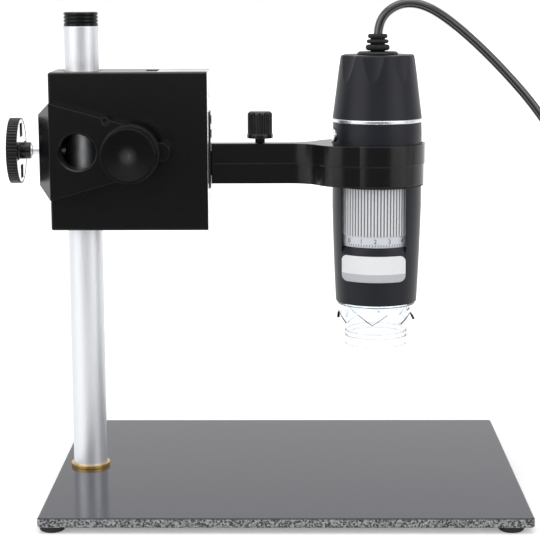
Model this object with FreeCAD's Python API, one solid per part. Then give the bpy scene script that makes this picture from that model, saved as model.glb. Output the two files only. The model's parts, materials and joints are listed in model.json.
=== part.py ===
import FreeCAD, Part
import math
import os

# A hand-held USB microscope held in the ring of a rack-and-pinion stand.
# Millimetres, +Z up, +X to the right and +Y away from the viewer.
# The origin is the centre of the plate's top face, where the specimen lies.

Vector = FreeCAD.Vector
UP = Vector(0, 0, 1)
RIGHT = Vector(1, 0, 0)
BACK = Vector(0, 1, 0)

# Fits and clearances
RUNNING_GAP = 0.03          # radial, between a turning or sliding shaft and its bush
WAY_GAP = 0.12              # between the slide and its way, and the tongue and its slot
LOOSE_GAP = 0.3             # between parts that move past each other without touching
SCREW_HOLE_GAP = 0.2        # radial, round a screw head in its counterbore

# Shapes that several parts share
RIB_START = -0.32           # where a rib starts, in shares of the step from rib to rib
RIB_TOP = 0.44
RIB_SLOPE = 0.16
SCREW_SLOT_WIDTH = 1.2

# Base plate, feet and pole
PLATE_LENGTH = 172.0
PLATE_WIDTH = 132.0
PLATE_THICKNESS = 3.5
PLATE_CORNER_RADIUS = 1.2
PLATE_CHAMFER = 0.4
FOOT_DIAMETER = 9.2
FOOT_HEIGHT = 2.2
FOOT_ROUNDING = 1.2
FOOT_INSET_LEFT = 4.7
FOOT_INSET_RIGHT = 7.6
FOOT_INSET_FRONT = 5.0
POLE_INSET = 11.0           # from the plate's left edge to the pole's axis
POLE_DIAMETER = 12.7
POLE_LENGTH = 166.7
POLE_RING_WALL = 1.0
POLE_RING_HEIGHT = 1.3
POLE_SCREW_DIAMETER = 5.0
POLE_SCREW_LENGTH = 14.0
POLE_SCREW_HEAD_DIAMETER = 9.4
POLE_SCREW_HEAD_HEIGHT = 2.4
CAP_DIAMETER = 12.6
CAP_HEIGHT = 5.1
CAP_GROOVE = 0.35
CAP_GROOVES = 3
CAP_SPIGOT_DIAMETER = 7.0
CAP_SPIGOT_LENGTH = 6.0

# Focus block on the pole
HEAD_HEIGHT = 122.1         # from the plate's top face to the focus shaft's axis
BLOCK_ABOVE = 28.3
BLOCK_BELOW = 29.5
BLOCK_DEPTH = 25.3
BLOCK_LENGTH = 57.8
BLOCK_LEFT_OF_POLE = 11.0
BLOCK_CHAMFER = 0.5
POLE_BUSH_WALL = 1.25
POLE_BUSH_LENGTH = 14.0
POLE_BORE_GAP = 0.65        # radial, between the pole and the block between the bushes
CROSS_HOLE_GAP = 1.1        # the block's cross hole is this much wider than the socket

# Bracket casting on the block's front and left cheek
BRACKET_THICKNESS = 7.35
BRACKET_HALF_HEIGHT = 17.6
BRACKET_NOSE_RADIUS = 8.9
BRACKET_LUG_RADIUS = 3.3
BRACKET_LUG_RIGHT = 10.6    # from the focus shaft to the middle of the small round lug
CHEEK_THICKNESS = 4.2
CHEEK_START = 1.0           # the front plate's left edge lies this far inside the block
CHEEK_HALF_HEIGHT = 13.0
CHEEK_SLANT = 10.0          # length of the slanted front of the cheek, along Y
CHEEK_BACK_CHAMFER = 2.6
SOCKET_RADIUS = 6.45        # takes a 12.7 mm cross rod
SOCKET_CHAMFER = 0.6
BRACKET_SCREW_DIAMETER = 2.0
BRACKET_SCREW_HEAD_DIAMETER = 2.8
BRACKET_SCREW_HEAD_HEIGHT = 2.0
BRACKET_SCREW_LENGTH = 5.0  # in the block
BRACKET_SCREW_KEY = 1.4     # diameter of the key hole in the head
FRONT_SCREW_RIGHT = 10.4    # from the socket's axis
FRONT_SCREW_UP = 11.3
CHEEK_SCREW_UP = 9.0

# Clamp screw that holds the block on the pole
CLAMP_DROP = 1.15           # its axis lies this far below the focus shaft
CLAMP_PAD_DIAMETER = 6.0
CLAMP_PAD_THICKNESS = 1.6
CLAMP_PAD_GAP = 0.1
CLAMP_BACK_OFF = 1.0        # room behind the pad
CLAMP_SCREW_DIAMETER = 3.0
CLAMP_STEP_DIAMETER = 4.2
CLAMP_STEP_LENGTH = 0.7
CLAMP_OUT = 3.7             # bare screw between the cheek and the step
CLAMP_HUB_DIAMETER = 6.2
CLAMP_HUB_LENGTH = 3.5
CLAMP_WHEEL_DIAMETER = 24.3
CLAMP_WHEEL_WIDTH = 4.0
CLAMP_WHEEL_WEB = 1.6
CLAMP_WHEEL_RIM = 0.5
CLAMP_FACE_THICKNESS = 0.6
CLAMP_FACE_SET_BACK = 0.1
CLAMP_RIBS = 60
CLAMP_RIB_DEPTH = 0.35
CLAMP_SLOTS = 4
CLAMP_SLOT_WIDTH = 5.5
CLAMP_SLOT_LENGTH = 5.0
CLAMP_SLOT_OUT = 0.66       # share of the white face's radius
CLAMP_SPACER_WALL = 1.5

# Focus shaft, pinion, rack and knobs
PINION_INSET = 27.1         # from the block's right face to the shaft's axis
SHAFT_DIAMETER = 6.0
SHAFT_BUSH_WALL = 1.5
GEAR_MODULE = 0.6
GEAR_TEETH = 16
GEAR_DEDENDUM = 1.25        # depth below the pitch line, in modules
GEAR_PRESSURE_ANGLE = 20.0
GEAR_BACKLASH = 0.14
GEAR_TIP_CUT = 0.06         # shortens the teeth so that they clear the roots
PINION_WIDTH = 7.0
RACK_WIDTH = 8.0
RACK_BACK = 3.0
RACK_END = 3.0              # the rack stops this far from each end of the slide
RACK_SCREW_UP = 19.0
RACK_SCREW_DIAMETER = 2.5
RACK_SCREW_HEAD_DIAMETER = 4.5
RACK_SCREW_HEAD_HEIGHT = 2.4
RACK_SCREW_KEY = 2.0
KNOB_GAP = 1.3              # between the knob and the face behind it
KNOB_RIM_DIAMETER = 21.2
KNOB_RIM_WIDTH = 5.5
KNOB_LENGTH = 13.6
KNOB_BODY_DIAMETER = 20.0
KNOB_FACE_DIAMETER = 19.4
KNOB_DISH = 0.5
KNOB_LIP = 0.8
KNOB_RIBS = 48
KNOB_RIB_DEPTH = 0.35
KNOB_WALL = 3.0             # between the shaft's end and the knob's face
KNOB_SCREW_DIAMETER = 2.0
KNOB_SCREW_LENGTH = 4.0

# Slide in the block's right end
SLIDE_HALF_WIDTH = 6.5
SLIDE_ROOT_HALF_WIDTH = 9.5
SLIDE_FLANK = 8.0

# Arm mount on the slide, arm with its ring, and their thumb screw
ARM_DROP = 6.05             # the arm's middle lies this far below the focus shaft
ARM_HEIGHT = 14.9
ARM_DEPTH = 5.5
ARM_STEP = 0.35             # the arm's lower half is set in by this much
# Points of the arm's flare, in ring radii to the left of the ring's centre and to the front
FLARE_START = 1.8
FLARE_BEND = (1.51, 0.09)   # the second number is from the bar's front face
FLARE_NECK = (1.27, 0.46)
FLARE_SHOULDER = (0.99, 0.79)
FLARE_END = 0.4             # there the flare meets the ring
MOUNT_THICKNESS = 0.6
MOUNT_DEPTH = 9.0
MOUNT_BELOW = 8.95
MOUNT_ABOVE = 19.25
MOUNT_RIVET_DIAMETER = 2.0
MOUNT_RIVET_HEAD_DIAMETER = 3.2
MOUNT_RIVET_HEAD_HEIGHT = 0.3
MOUNT_RIVET_LENGTH = 5.0
MOUNT_RIVET_UP = 11.0
MOUNT_RIVET_PITCH = 5.2
TONGUE_LENGTH = 33.0
TONGUE_HEIGHT = 9.0
TONGUE_DEPTH = 3.0
ARM_END_GAP = 0.2
RING_RADIUS = 17.75
RING_GAP = 0.03
LINER_WALL = 0.3
LINER_LIP_HEIGHT = 0.6
LINER_LIP_WIDTH = 0.35
LOCK_RIGHT = 18.0           # from the arm's left end to its thumb screw
LOCK_SCREW_DIAMETER = 2.5
LOCK_HOLE_GAP = 0.05
LOCK_PAD_HEIGHT = 1.1
LOCK_PAD_GAP = 0.05
LOCK_NECK_DIAMETER = 3.7
LOCK_NECK_HEIGHT = 1.75
LOCK_NECK_GAP = 0.15
LOCK_KNOB_DIAMETER = 9.3
LOCK_KNOB_HEIGHT = 9.8
LOCK_KNOB_FLUTES = 12
LOCK_KNOB_FLUTE_DEPTH = 0.5
LOCK_KNOB_SKIRT = 0.2       # the knob's foot is this much wider
LOCK_KNOB_SKIRT_HEIGHT = 1.2
LOCK_KNOB_FLUTES_UP = 1.6
LOCK_KNOB_FLUTE_RADIUS = 0.81
LOCK_KNOB_CHAMFER = 0.8

# Microscope: a place named UP is a height above the shell's bottom edge
SCOPE_RIGHT = 34.0          # from the plate's centre to the microscope's axis
SCOPE_TURN = -8.0           # degrees about that axis, away from facing the front
RING_DOWN = 15.3            # from the shell's top edge down to the middle of the arm's ring
SHELL_HEIGHT = 66.95
SHELL_WALL = 1.1
SHELL_BOTTOM_RADIUS = 15.1
SHELL_WAIST_RADIUS = 16.0
SHELL_WAIST_UP = 20.0
SHELL_GRIP_RADIUS = 16.5
SHELL_GRIP_UP = 36.0
SHELL_GRIP_DOWN = 4.0       # the straight grip ends this far below the top edge
SHELL_TOP_RADIUS = 16.35
SHELL_LEDGE_RADIUS = 12.8
WINDOW_UP = 21.6
WINDOW_HEIGHT = 21.8
WINDOW_WIDTH = 23.6
SILL_HEIGHT = 2.7           # the window has a slanted sill below it
SILL_DEPTH = 0.8
SCALE_HEIGHT = 4.2
WHEEL_RADIUS = 14.75
SCALE_RADIUS = 14.35
SCALE_WALL = 0.6
WHEEL_RIBS = 76
WHEEL_RIB_DEPTH = 0.3
WHEEL_END_GAP = 0.3
GUIDE_RADIUS = 12.5
GUIDE_WALL = 1.2
GUIDE_FLANGE = 2.0
LEDGE_THICKNESS = 2.0
GUIDE_SLOT_WIDTH = 2.2
LENS_TRAVEL = 7.0           # each way
LENS_UP = 21.0
LENS_RING_HEIGHT = 6.0
LENS_BARREL_RADIUS = 6.6
LENS_BARREL_WALL = 1.1
LENS_BARREL_HEIGHT = 16.0
LENS_THICKNESS = 2.6
LENS_PIN_DIAMETER = 1.8
LED_BOARD_THICKNESS = 1.6
LED_BOARD_HOLE = 5.2
LED_COUNT = 8
LED_RING_RADIUS = 8.4
LED_RADIUS = 1.5
LED_HEIGHT = 2.6
HOOD_SKIRT_RADIUS = 14.6
HOOD_SKIRT_SHORT = 3.6
HOOD_SKIRT_LONG = 7.6
HOOD_POINTS = 8
HOOD_CUP_RADIUS = 11.7
HOOD_CUP_LENGTH = 16.4
HOOD_WALL = 1.0
HOOD_SPIGOT_HEIGHT = 3.0
HOOD_GROOVE = 0.2
HOOD_GROOVE_PITCH = 1.8
HOOD_GROOVE_UP = 3.2
TRIM_HEIGHT = 1.5
TRIM_RADIUS = 16.65
TRIM_WALL = 1.6
TRIM_CHAMFER = 0.25
UPPER_HEIGHT = 23.1
UPPER_BOTTOM_RADIUS = 16.5
UPPER_MIDDLE_RADIUS = 14.85
UPPER_MIDDLE_UP = 13.0
UPPER_TOP_RADIUS = 13.7
UPPER_WALL = 1.6
UPPER_TOP_ROUNDING = 0.7
SCALLOPS = 8
SCALLOP_RADIUS = 40.0
SCALLOP_HEIGHT = 10.0
SCALLOP_DEPTH = 0.8         # at the top edge
SCALLOP_START = 1.0         # where a scallop starts, in shares of the taper from the middle to the top
SCALLOP_OVERRUN = 14.0      # the cutting cylinder is longer than the scallop by this much at each end
COLLAR_RADIUS = 7.5
COLLAR_HEIGHT = 1.1
COLLAR_CHAMFER = 0.6
COLLAR_CHAMFER_HEIGHT = 0.5
RELIEF_CORE_RADIUS = 2.7
RELIEF_RIB_RADII = (4.45, 4.05, 3.6)
RELIEF_RIB_HEIGHTS = (2.15, 1.45, 1.6)
RELIEF_RIB_GAP = 0.4
RELIEF_BORE_DEPTH = 3.4     # how far the cable's free end reaches into the strain relief
SENSOR_BOARD_THICKNESS = 1.6
SENSOR_SIZE = 8.0
SENSOR_HEIGHT = 1.2
CHIP_SIZE = 6.0
CHIP_HEIGHT = 1.1
LABEL_THICKNESS = 0.15
LABEL_UP = 8.9
LABEL_HEIGHT = 9.8
LABEL_WIDTH = 23.6
LABEL_CORNER = 2.2
SHELL_SCREW_DIAMETER = 1.8
SHELL_SCREW_LENGTH = 9.0
SHELL_SCREW_HEAD_DIAMETER = 2.7
SHELL_SCREW_HEAD_HEIGHT = 1.8
SHELL_BOSS_RADIUS = 2.0
SHELL_SCREW_ASIDE = 5.0

# Snapshot button, turned a little from the left side to the front
BUTTON_AZIMUTH = 23.0
BUTTON_RADIUS = 2.5
BUTTON_DOWN = 4.6           # from the shell's top edge to the button's middle
BUTTON_PROUD = 0.7
BUTTON_TRAVEL = 0.5
BUTTON_HOLE_GAP = 0.15
BUTTON_FLANGE_WIDTH = 0.7
BUTTON_FLANGE_THICKNESS = 0.8
BUTTON_FLANGE_GAP = 0.3
SWITCH_SIZE = 5.0
SWITCH_DEPTH = 1.6
SWITCH_GAP = 0.1
SWITCH_BOARD_THICKNESS = 1.2
SWITCH_BOARD_WIDTH = 8.0

# Cable: its route from the strain relief to the coil was chosen by hand. Each point is its place
# to the right of the microscope's axis, its place in depth and its height above the coil's top turns,
# drawn for the run and the rise that follow it.
CABLE_DIAMETER = 3.3
CABLE_ROUTE = [
    (0.0, 0.0, 156.25),
    (3.1, 0.0, 161.65),
    (8.9, 0.0, 164.75),
    (15.8, 0.0, 164.35),
    (23.5, 0.0, 160.45),
    (34.0, 0.0, 152.05),
    (45.6, 0.0, 140.85),
    (58.4, 0.0, 126.65),
    (69.4, -4.0, 109.65),
    (75.6, -12.0, 88.65),
    (77.4, -20.5, 65.45),
    (76.4, -26.0, 42.05),
    (74.8, -26.5, 23.05),
    (74.0, -21.0, 8.05),
    (73.7, -11.5, 0.00),
]
ROUTE_RUN = 73.7            # from the microscope's axis to the start of the coil
ROUTE_RISE = 153.5          # from the coil's top turns to the top of the strain relief
BEND_SHARE = 0.45           # share of the shorter run that each bend takes
COIL_CENTRE_X = 130.0
COIL_OUTER_RADIUS = 22.3    # of the cable's middle line
COIL_PITCH = 4.3            # from turn to turn, sideways and in height
COIL_LAYERS = 4
COIL_HALF_TURNS = 4         # flat half turns in each layer
TIE_THICKNESS = 0.8
TIE_WIDTH = 6.0
TIE_GAP = 0.3
TIE_ROUNDING = 1.2
PLUG_WIDTH = 16.0
PLUG_HEIGHT = 8.0
PLUG_LENGTH = 24.0
PLUG_ROUNDING = 2.0
PLUG_LEAD = 30.0
PLUG_SHELL_WIDTH = 12.0
PLUG_SHELL_HEIGHT = 4.5
PLUG_SHELL_LENGTH = 12.5
PLUG_SHELL_WALL = 0.3
PLUG_SHELL_SEAT = 6.0       # how far the metal shell sits in the grip
PLUG_TONGUE_THICKNESS = 1.8
PLUG_TONGUE_SET_BACK = 0.5

# Places worked out from the sizes above
TABLE = -PLATE_THICKNESS - FOOT_HEIGHT
POLE_X = -PLATE_LENGTH / 2 + POLE_INSET
BLOCK_LEFT = POLE_X - BLOCK_LEFT_OF_POLE
BLOCK_RIGHT = BLOCK_LEFT + BLOCK_LENGTH
BLOCK_BOTTOM = HEAD_HEIGHT - BLOCK_BELOW
BLOCK_TOP = HEAD_HEIGHT + BLOCK_ABOVE
BLOCK_FRONT = -BLOCK_DEPTH / 2
BRACKET_FRONT = BLOCK_FRONT - BRACKET_THICKNESS
CLAMP_HEIGHT = HEAD_HEIGHT - CLAMP_DROP
CHEEK_LEFT = BLOCK_LEFT - CHEEK_THICKNESS
CLAMP_SCREW_RIGHT = POLE_X - POLE_DIAMETER / 2 - CLAMP_PAD_GAP - CLAMP_PAD_THICKNESS
CLAMP_HUB_RIGHT = CHEEK_LEFT - CLAMP_OUT - CLAMP_STEP_LENGTH
CLAMP_WHEEL_RIGHT = CLAMP_HUB_RIGHT - CLAMP_HUB_LENGTH
KNOB_FRONT = BRACKET_FRONT - KNOB_GAP - KNOB_LENGTH
REAR_KNOB_START = -BLOCK_FRONT + KNOB_GAP
POLE_BUSH_BORE = POLE_DIAMETER / 2 + RUNNING_GAP
POLE_BUSH_RADIUS = POLE_BUSH_BORE + POLE_BUSH_WALL
SHAFT_X = BLOCK_RIGHT - PINION_INSET
SHAFT_BUSH_RADIUS = SHAFT_DIAMETER / 2 + RUNNING_GAP + SHAFT_BUSH_WALL
PITCH_RADIUS = GEAR_MODULE * GEAR_TEETH / 2
TIP_RADIUS = PITCH_RADIUS + GEAR_MODULE - GEAR_TIP_CUT
ROOT_RADIUS = PITCH_RADIUS - GEAR_DEDENDUM * GEAR_MODULE
POCKET_HALF_WIDTH = max(PINION_WIDTH, RACK_WIDTH) / 2 + LOOSE_GAP
RACK_PITCH_X = SHAFT_X + PITCH_RADIUS
RACK_TIP_X = RACK_PITCH_X - GEAR_MODULE + GEAR_TIP_CUT
RACK_ROOT_X = RACK_PITCH_X + GEAR_DEDENDUM * GEAR_MODULE
SLIDE_LEFT = RACK_ROOT_X + RACK_BACK
ARM_MIDDLE = HEAD_HEIGHT - ARM_DROP
ARM_TOP = ARM_MIDDLE + ARM_HEIGHT / 2
ARM_BOTTOM = ARM_MIDDLE - ARM_HEIGHT / 2
MOUNT_RIGHT = BLOCK_RIGHT + MOUNT_THICKNESS
ARM_LEFT = MOUNT_RIGHT + ARM_END_GAP
LOCK_X = ARM_LEFT + LOCK_RIGHT
LOCK_PAD_BOTTOM = ARM_MIDDLE + TONGUE_HEIGHT / 2 + LOCK_PAD_GAP
LOCK_SCREW_BOTTOM = LOCK_PAD_BOTTOM + LOCK_PAD_HEIGHT
LOCK_KNOB_BOTTOM = ARM_TOP + LOCK_NECK_GAP + LOCK_NECK_HEIGHT
SCOPE = Vector(SCOPE_RIGHT, 0, 0)
SHELL_TOP = ARM_MIDDLE + RING_DOWN
SCOPE_BOTTOM = SHELL_TOP - SHELL_HEIGHT
LINER_BORE = SHELL_GRIP_RADIUS + RUNNING_GAP
LINER_RADIUS = LINER_BORE + LINER_WALL
RING_BORE = LINER_RADIUS + RING_GAP
WINDOW_BOTTOM = SCOPE_BOTTOM + WINDOW_UP
WINDOW_TOP = WINDOW_BOTTOM + WINDOW_HEIGHT
UPPER_BOTTOM = SHELL_TOP + TRIM_HEIGHT
UPPER_TOP = UPPER_BOTTOM + UPPER_HEIGHT
LED_BOARD_BOTTOM = SCOPE_BOTTOM + HOOD_SPIGOT_HEIGHT
LED_BOARD_TOP = LED_BOARD_BOTTOM + LED_BOARD_THICKNESS
LEDGE_BOTTOM = WINDOW_BOTTOM - WHEEL_END_GAP - LEDGE_THICKNESS
UPPER_LEDGE_BOTTOM = WINDOW_TOP + WHEEL_END_GAP
FLANGE_BOTTOM = UPPER_LEDGE_BOTTOM + LEDGE_THICKNESS
FLANGE_TOP = FLANGE_BOTTOM + GUIDE_FLANGE
SENSOR_BOARD_TOP = FLANGE_TOP + SENSOR_BOARD_THICKNESS
INNER_RADIUS = SHELL_TOP_RADIUS - SHELL_WALL
CABLE_RADIUS = CABLE_DIAMETER / 2
RELIEF_TOP = UPPER_TOP + COLLAR_HEIGHT + sum(RELIEF_RIB_HEIGHTS) + RELIEF_RIB_GAP * len(RELIEF_RIB_RADII)
COIL_LOW = TABLE + TIE_THICKNESS + TIE_GAP + CABLE_RADIUS
COIL_HIGH = COIL_LOW + COIL_PITCH * (COIL_LAYERS - 1)
COIL_INNER_RADIUS = COIL_OUTER_RADIUS - COIL_PITCH * COIL_HALF_TURNS / 2
COIL_END_X = COIL_CENTRE_X + COIL_OUTER_RADIUS
PLUG_AXIS = TABLE + PLUG_HEIGHT / 2
PLUG_START = -CABLE_DIAMETER - PLUG_LEAD


def box(x0, x1, y0, y1, z0, z1):
    return Part.makeBox(x1 - x0, y1 - y0, z1 - z0, Vector(x0, y0, z0))


def rod(radius, start, direction, length):
    return Part.makeCylinder(radius, length, start, direction)


def tube(outer, inner, start, direction, length):
    return rod(outer, start, direction, length).cut(rod(inner, start, direction, length))


def joined(shapes):
    return shapes[0].fuse(shapes[1:]).removeSplitter()


def outline_face(edges):
    return Part.Face(Part.Wire(edges))


def polygon_face(points):
    return Part.Face(Part.makePolygon(points + points[:1]))


def turned(profile, centre):
    """Solid of revolution about the vertical through centre; profile holds (radius, height)."""
    face = polygon_face([centre + Vector(r, 0, z) for r, z in profile])
    return face.revolve(centre, UP, 360)


def around(shape, count, centre, axis=UP):
    """Copies of a shape, evenly spaced about an axis."""
    copies = []
    for i in range(count):
        copy = shape.copy()
        copy.rotate(centre, axis, 360.0 * i / count)
        copies.append(copy)
    return copies


def ribbed_disc(radius, depth, count, centre, axis, length):
    """Disc whose rim has count flat-topped ribs, depth high."""
    side = RIGHT if abs(axis.dot(RIGHT)) < 0.5 else UP
    other = axis.cross(side)
    step = 2 * math.pi / count
    points = []
    rib_end = RIB_START + RIB_TOP
    corners = ((RIB_START, radius), (rib_end, radius), (rib_end + RIB_SLOPE, radius - depth),
               (RIB_START + 1 - RIB_SLOPE, radius - depth))
    for i in range(count):
        for share, r in corners:
            angle = (i + share) * step
            points.append(centre + side * (r * math.cos(angle)) + other * (r * math.sin(angle)))
    return polygon_face(points).extrude(axis * length)


def write(name, shape):
    if isinstance(shape, list):
        shape = Part.makeCompound(shape)
    shape.exportStep(os.path.join("parts", name + ".step"))


def write_turned(name, shape):
    """For a piece of the microscope, which stands in its ring turned away from the front."""
    if isinstance(shape, list):
        shape = Part.makeCompound(shape)
    shape.rotate(SCOPE, UP, SCOPE_TURN)
    write(name, shape)


# Base plate, feet and pole

def pole_screw_outline():
    """Radius and height of the countersunk screw, from the plate's underside."""
    head = POLE_SCREW_HEAD_DIAMETER / 2
    shank = POLE_SCREW_DIAMETER / 2
    underside = -PLATE_THICKNESS
    return [(0, underside), (head, underside), (shank, underside + POLE_SCREW_HEAD_HEIGHT),
            (shank, POLE_SCREW_LENGTH), (0, POLE_SCREW_LENGTH)]


def make_pole_screw():
    screw = turned(pole_screw_outline(), Vector(POLE_X, 0, 0))
    slot_top = POLE_SCREW_HEAD_HEIGHT / 2 - PLATE_THICKNESS
    slot = box(POLE_X - POLE_SCREW_HEAD_DIAMETER, POLE_X + POLE_SCREW_HEAD_DIAMETER,
               -SCREW_SLOT_WIDTH / 2, SCREW_SLOT_WIDTH / 2, -PLATE_THICKNESS - 1, slot_top)
    return screw.cut(slot)


def make_base_plate():
    half_length = PLATE_LENGTH / 2
    half_width = PLATE_WIDTH / 2
    plate = box(-half_length, half_length, -half_width, half_width, -PLATE_THICKNESS, 0)
    uprights = [e for e in plate.Edges if abs(e.tangentAt(e.FirstParameter).z) > 0.9]
    plate = plate.makeFillet(PLATE_CORNER_RADIUS, uprights)
    rims = [e for e in plate.Edges if e.BoundBox.ZLength < 0.01]
    plate = plate.makeChamfer(PLATE_CHAMFER, rims)
    return plate.cut(turned(pole_screw_outline(), Vector(POLE_X, 0, 0)))


def foot_places():
    left = -PLATE_LENGTH / 2 + FOOT_INSET_LEFT
    right = PLATE_LENGTH / 2 - FOOT_INSET_RIGHT
    front = -PLATE_WIDTH / 2 + FOOT_INSET_FRONT
    return [(x, y) for x in (left, right) for y in (front, -front)]


def make_feet():
    radius = FOOT_DIAMETER / 2
    feet = []
    for x, y in foot_places():
        foot = rod(radius, Vector(x, y, TABLE), UP, FOOT_HEIGHT)
        rim = [e for e in foot.Edges if e.BoundBox.ZMax < TABLE + 0.01]
        feet.append(foot.makeFillet(FOOT_ROUNDING, rim))
    return feet


def make_pole():
    radius = POLE_DIAMETER / 2
    pole = rod(radius, Vector(POLE_X, 0, 0), UP, POLE_LENGTH)
    pole = pole.cut(rod(POLE_SCREW_DIAMETER / 2, Vector(POLE_X, 0, 0), UP, POLE_SCREW_LENGTH))
    spigot_bottom = POLE_LENGTH - CAP_SPIGOT_LENGTH
    return pole.cut(rod(CAP_SPIGOT_DIAMETER / 2, Vector(POLE_X, 0, spigot_bottom), UP, CAP_SPIGOT_LENGTH))


def make_pole_ring():
    radius = POLE_DIAMETER / 2
    return tube(radius + POLE_RING_WALL, radius, Vector(POLE_X, 0, 0), UP, POLE_RING_HEIGHT)


def make_pole_cap():
    radius = CAP_DIAMETER / 2
    pitch = CAP_HEIGHT / (CAP_GROOVES + 1)
    profile = [(0, POLE_LENGTH - CAP_SPIGOT_LENGTH),
               (CAP_SPIGOT_DIAMETER / 2, POLE_LENGTH - CAP_SPIGOT_LENGTH),
               (CAP_SPIGOT_DIAMETER / 2, POLE_LENGTH), (radius, POLE_LENGTH)]
    for i in range(CAP_GROOVES):
        middle = POLE_LENGTH + pitch * (i + 1)
        profile += [(radius, middle - CAP_GROOVE), (radius - CAP_GROOVE, middle),
                    (radius, middle + CAP_GROOVE)]
    top = POLE_LENGTH + CAP_HEIGHT
    profile += [(radius, top - CAP_GROOVE), (radius - CAP_GROOVE, top), (0, top)]
    return turned(profile, Vector(POLE_X, 0, 0))


# Focus block, bushes and bracket

def make_pole_bushes():
    lower = Vector(POLE_X, 0, BLOCK_BOTTOM)
    upper = Vector(POLE_X, 0, BLOCK_TOP - POLE_BUSH_LENGTH)
    return [tube(POLE_BUSH_RADIUS, POLE_BUSH_BORE, place, UP, POLE_BUSH_LENGTH) for place in (lower, upper)]


def dovetail(gap, bottom, top, right):
    """Slide's cross-section, wide at its root, grown by gap; right is where its neck ends."""
    left = SLIDE_LEFT - gap
    shoulder = SLIDE_LEFT + SLIDE_FLANK + gap
    root = SLIDE_ROOT_HALF_WIDTH + gap
    neck = SLIDE_HALF_WIDTH + gap
    corners = [(left, -root), (shoulder, -neck), (right, -neck), (right, neck), (shoulder, neck),
               (left, root)]
    face = polygon_face([Vector(x, y, bottom) for x, y in corners])
    return face.extrude(UP * (top - bottom))


def bracket_screw_places():
    """Start and direction of each bracket screw: one in front, two in the left cheek."""
    front = Vector(POLE_X + FRONT_SCREW_RIGHT, BRACKET_FRONT, HEAD_HEIGHT + FRONT_SCREW_UP)
    upper = Vector(CHEEK_LEFT, 0, HEAD_HEIGHT + CHEEK_SCREW_UP)
    lower = Vector(CHEEK_LEFT, 0, HEAD_HEIGHT - CHEEK_SCREW_UP)
    return [(front, BACK, BRACKET_THICKNESS), (upper, RIGHT, CHEEK_THICKNESS),
            (lower, RIGHT, CHEEK_THICKNESS)]


def cheek_screw_reach():
    """Cheek screws end in the block's left wall, short of the pole's bore."""
    wall = BLOCK_LEFT_OF_POLE - POLE_DIAMETER / 2 - POLE_BORE_GAP
    return min(BRACKET_SCREW_LENGTH, wall - LOOSE_GAP)


def bracket_screw(start, direction, grip, head_radius):
    reach = BRACKET_SCREW_LENGTH if direction == BACK else cheek_screw_reach()
    head = rod(head_radius, start, direction, BRACKET_SCREW_HEAD_HEIGHT)
    shank = rod(BRACKET_SCREW_DIAMETER / 2, start, direction, grip + reach)
    return joined([head, shank])


def make_bracket_screws():
    screws = []
    for start, direction, grip in bracket_screw_places():
        screw = bracket_screw(start, direction, grip, BRACKET_SCREW_HEAD_DIAMETER / 2)
        key = rod(BRACKET_SCREW_KEY / 2, start, direction, BRACKET_SCREW_HEAD_HEIGHT / 2)
        screws.append(screw.cut(key))
    return screws


def bracket_screw_holes():
    return [bracket_screw(start, direction, grip, BRACKET_SCREW_HEAD_DIAMETER / 2)
            for start, direction, grip in bracket_screw_places()]


def clamp_hole():
    """Pocket for the clamp pad beside the pole, and the screw's hole out to the left."""
    pole = Vector(POLE_X, 0, CLAMP_HEIGHT)
    pocket = rod(CLAMP_PAD_DIAMETER / 2 + LOOSE_GAP, pole, -RIGHT,
                 POLE_DIAMETER / 2 + CLAMP_PAD_GAP + CLAMP_PAD_THICKNESS + CLAMP_BACK_OFF)
    screw_hole = rod(CLAMP_SCREW_DIAMETER / 2 + RUNNING_GAP, pole, -RIGHT,
                     BLOCK_LEFT_OF_POLE + CHEEK_THICKNESS)
    return joined([pocket, screw_hole])


def make_block_housing():
    block = box(BLOCK_LEFT, BLOCK_RIGHT, BLOCK_FRONT, -BLOCK_FRONT, BLOCK_BOTTOM, BLOCK_TOP)
    rims = [e for e in block.Edges if e.BoundBox.XMax < BLOCK_RIGHT - 1 or e.BoundBox.XLength > 1]
    block = block.makeChamfer(BLOCK_CHAMFER, rims)
    pole = Vector(POLE_X, 0, BLOCK_BOTTOM)
    height = BLOCK_TOP - BLOCK_BOTTOM
    seat = POLE_BUSH_LENGTH + WAY_GAP
    seat_radius = POLE_BUSH_RADIUS + RUNNING_GAP
    cuts = [rod(POLE_DIAMETER / 2 + POLE_BORE_GAP, pole, UP, height),
            rod(seat_radius, pole, UP, seat),
            rod(seat_radius, Vector(POLE_X, 0, BLOCK_TOP - seat), UP, seat),
            rod(SOCKET_RADIUS + CROSS_HOLE_GAP, Vector(POLE_X, BLOCK_FRONT, HEAD_HEIGHT), BACK,
                BLOCK_DEPTH / 2),
            clamp_hole(),
            dovetail(WAY_GAP, BLOCK_BOTTOM, BLOCK_TOP, BLOCK_RIGHT + 1),
            box(RACK_TIP_X - LOOSE_GAP, SLIDE_LEFT, -POCKET_HALF_WIDTH, POCKET_HALF_WIDTH,
                BLOCK_BOTTOM, BLOCK_TOP),
            rod(TIP_RADIUS + LOOSE_GAP, Vector(SHAFT_X, -POCKET_HALF_WIDTH, HEAD_HEIGHT), BACK,
                2 * POCKET_HALF_WIDTH),
            rod(SHAFT_BUSH_RADIUS, Vector(SHAFT_X, BLOCK_FRONT, HEAD_HEIGHT), BACK, BLOCK_DEPTH)]
    return block.cut(cuts + bracket_screw_holes())


def make_shaft_bushes():
    length = BLOCK_DEPTH / 2 - POCKET_HALF_WIDTH
    starts = (BLOCK_FRONT, POCKET_HALF_WIDTH)
    bore = SHAFT_DIAMETER / 2 + RUNNING_GAP
    return [tube(SHAFT_BUSH_RADIUS, bore, Vector(SHAFT_X, y, HEAD_HEIGHT), BACK, length) for y in starts]


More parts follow.
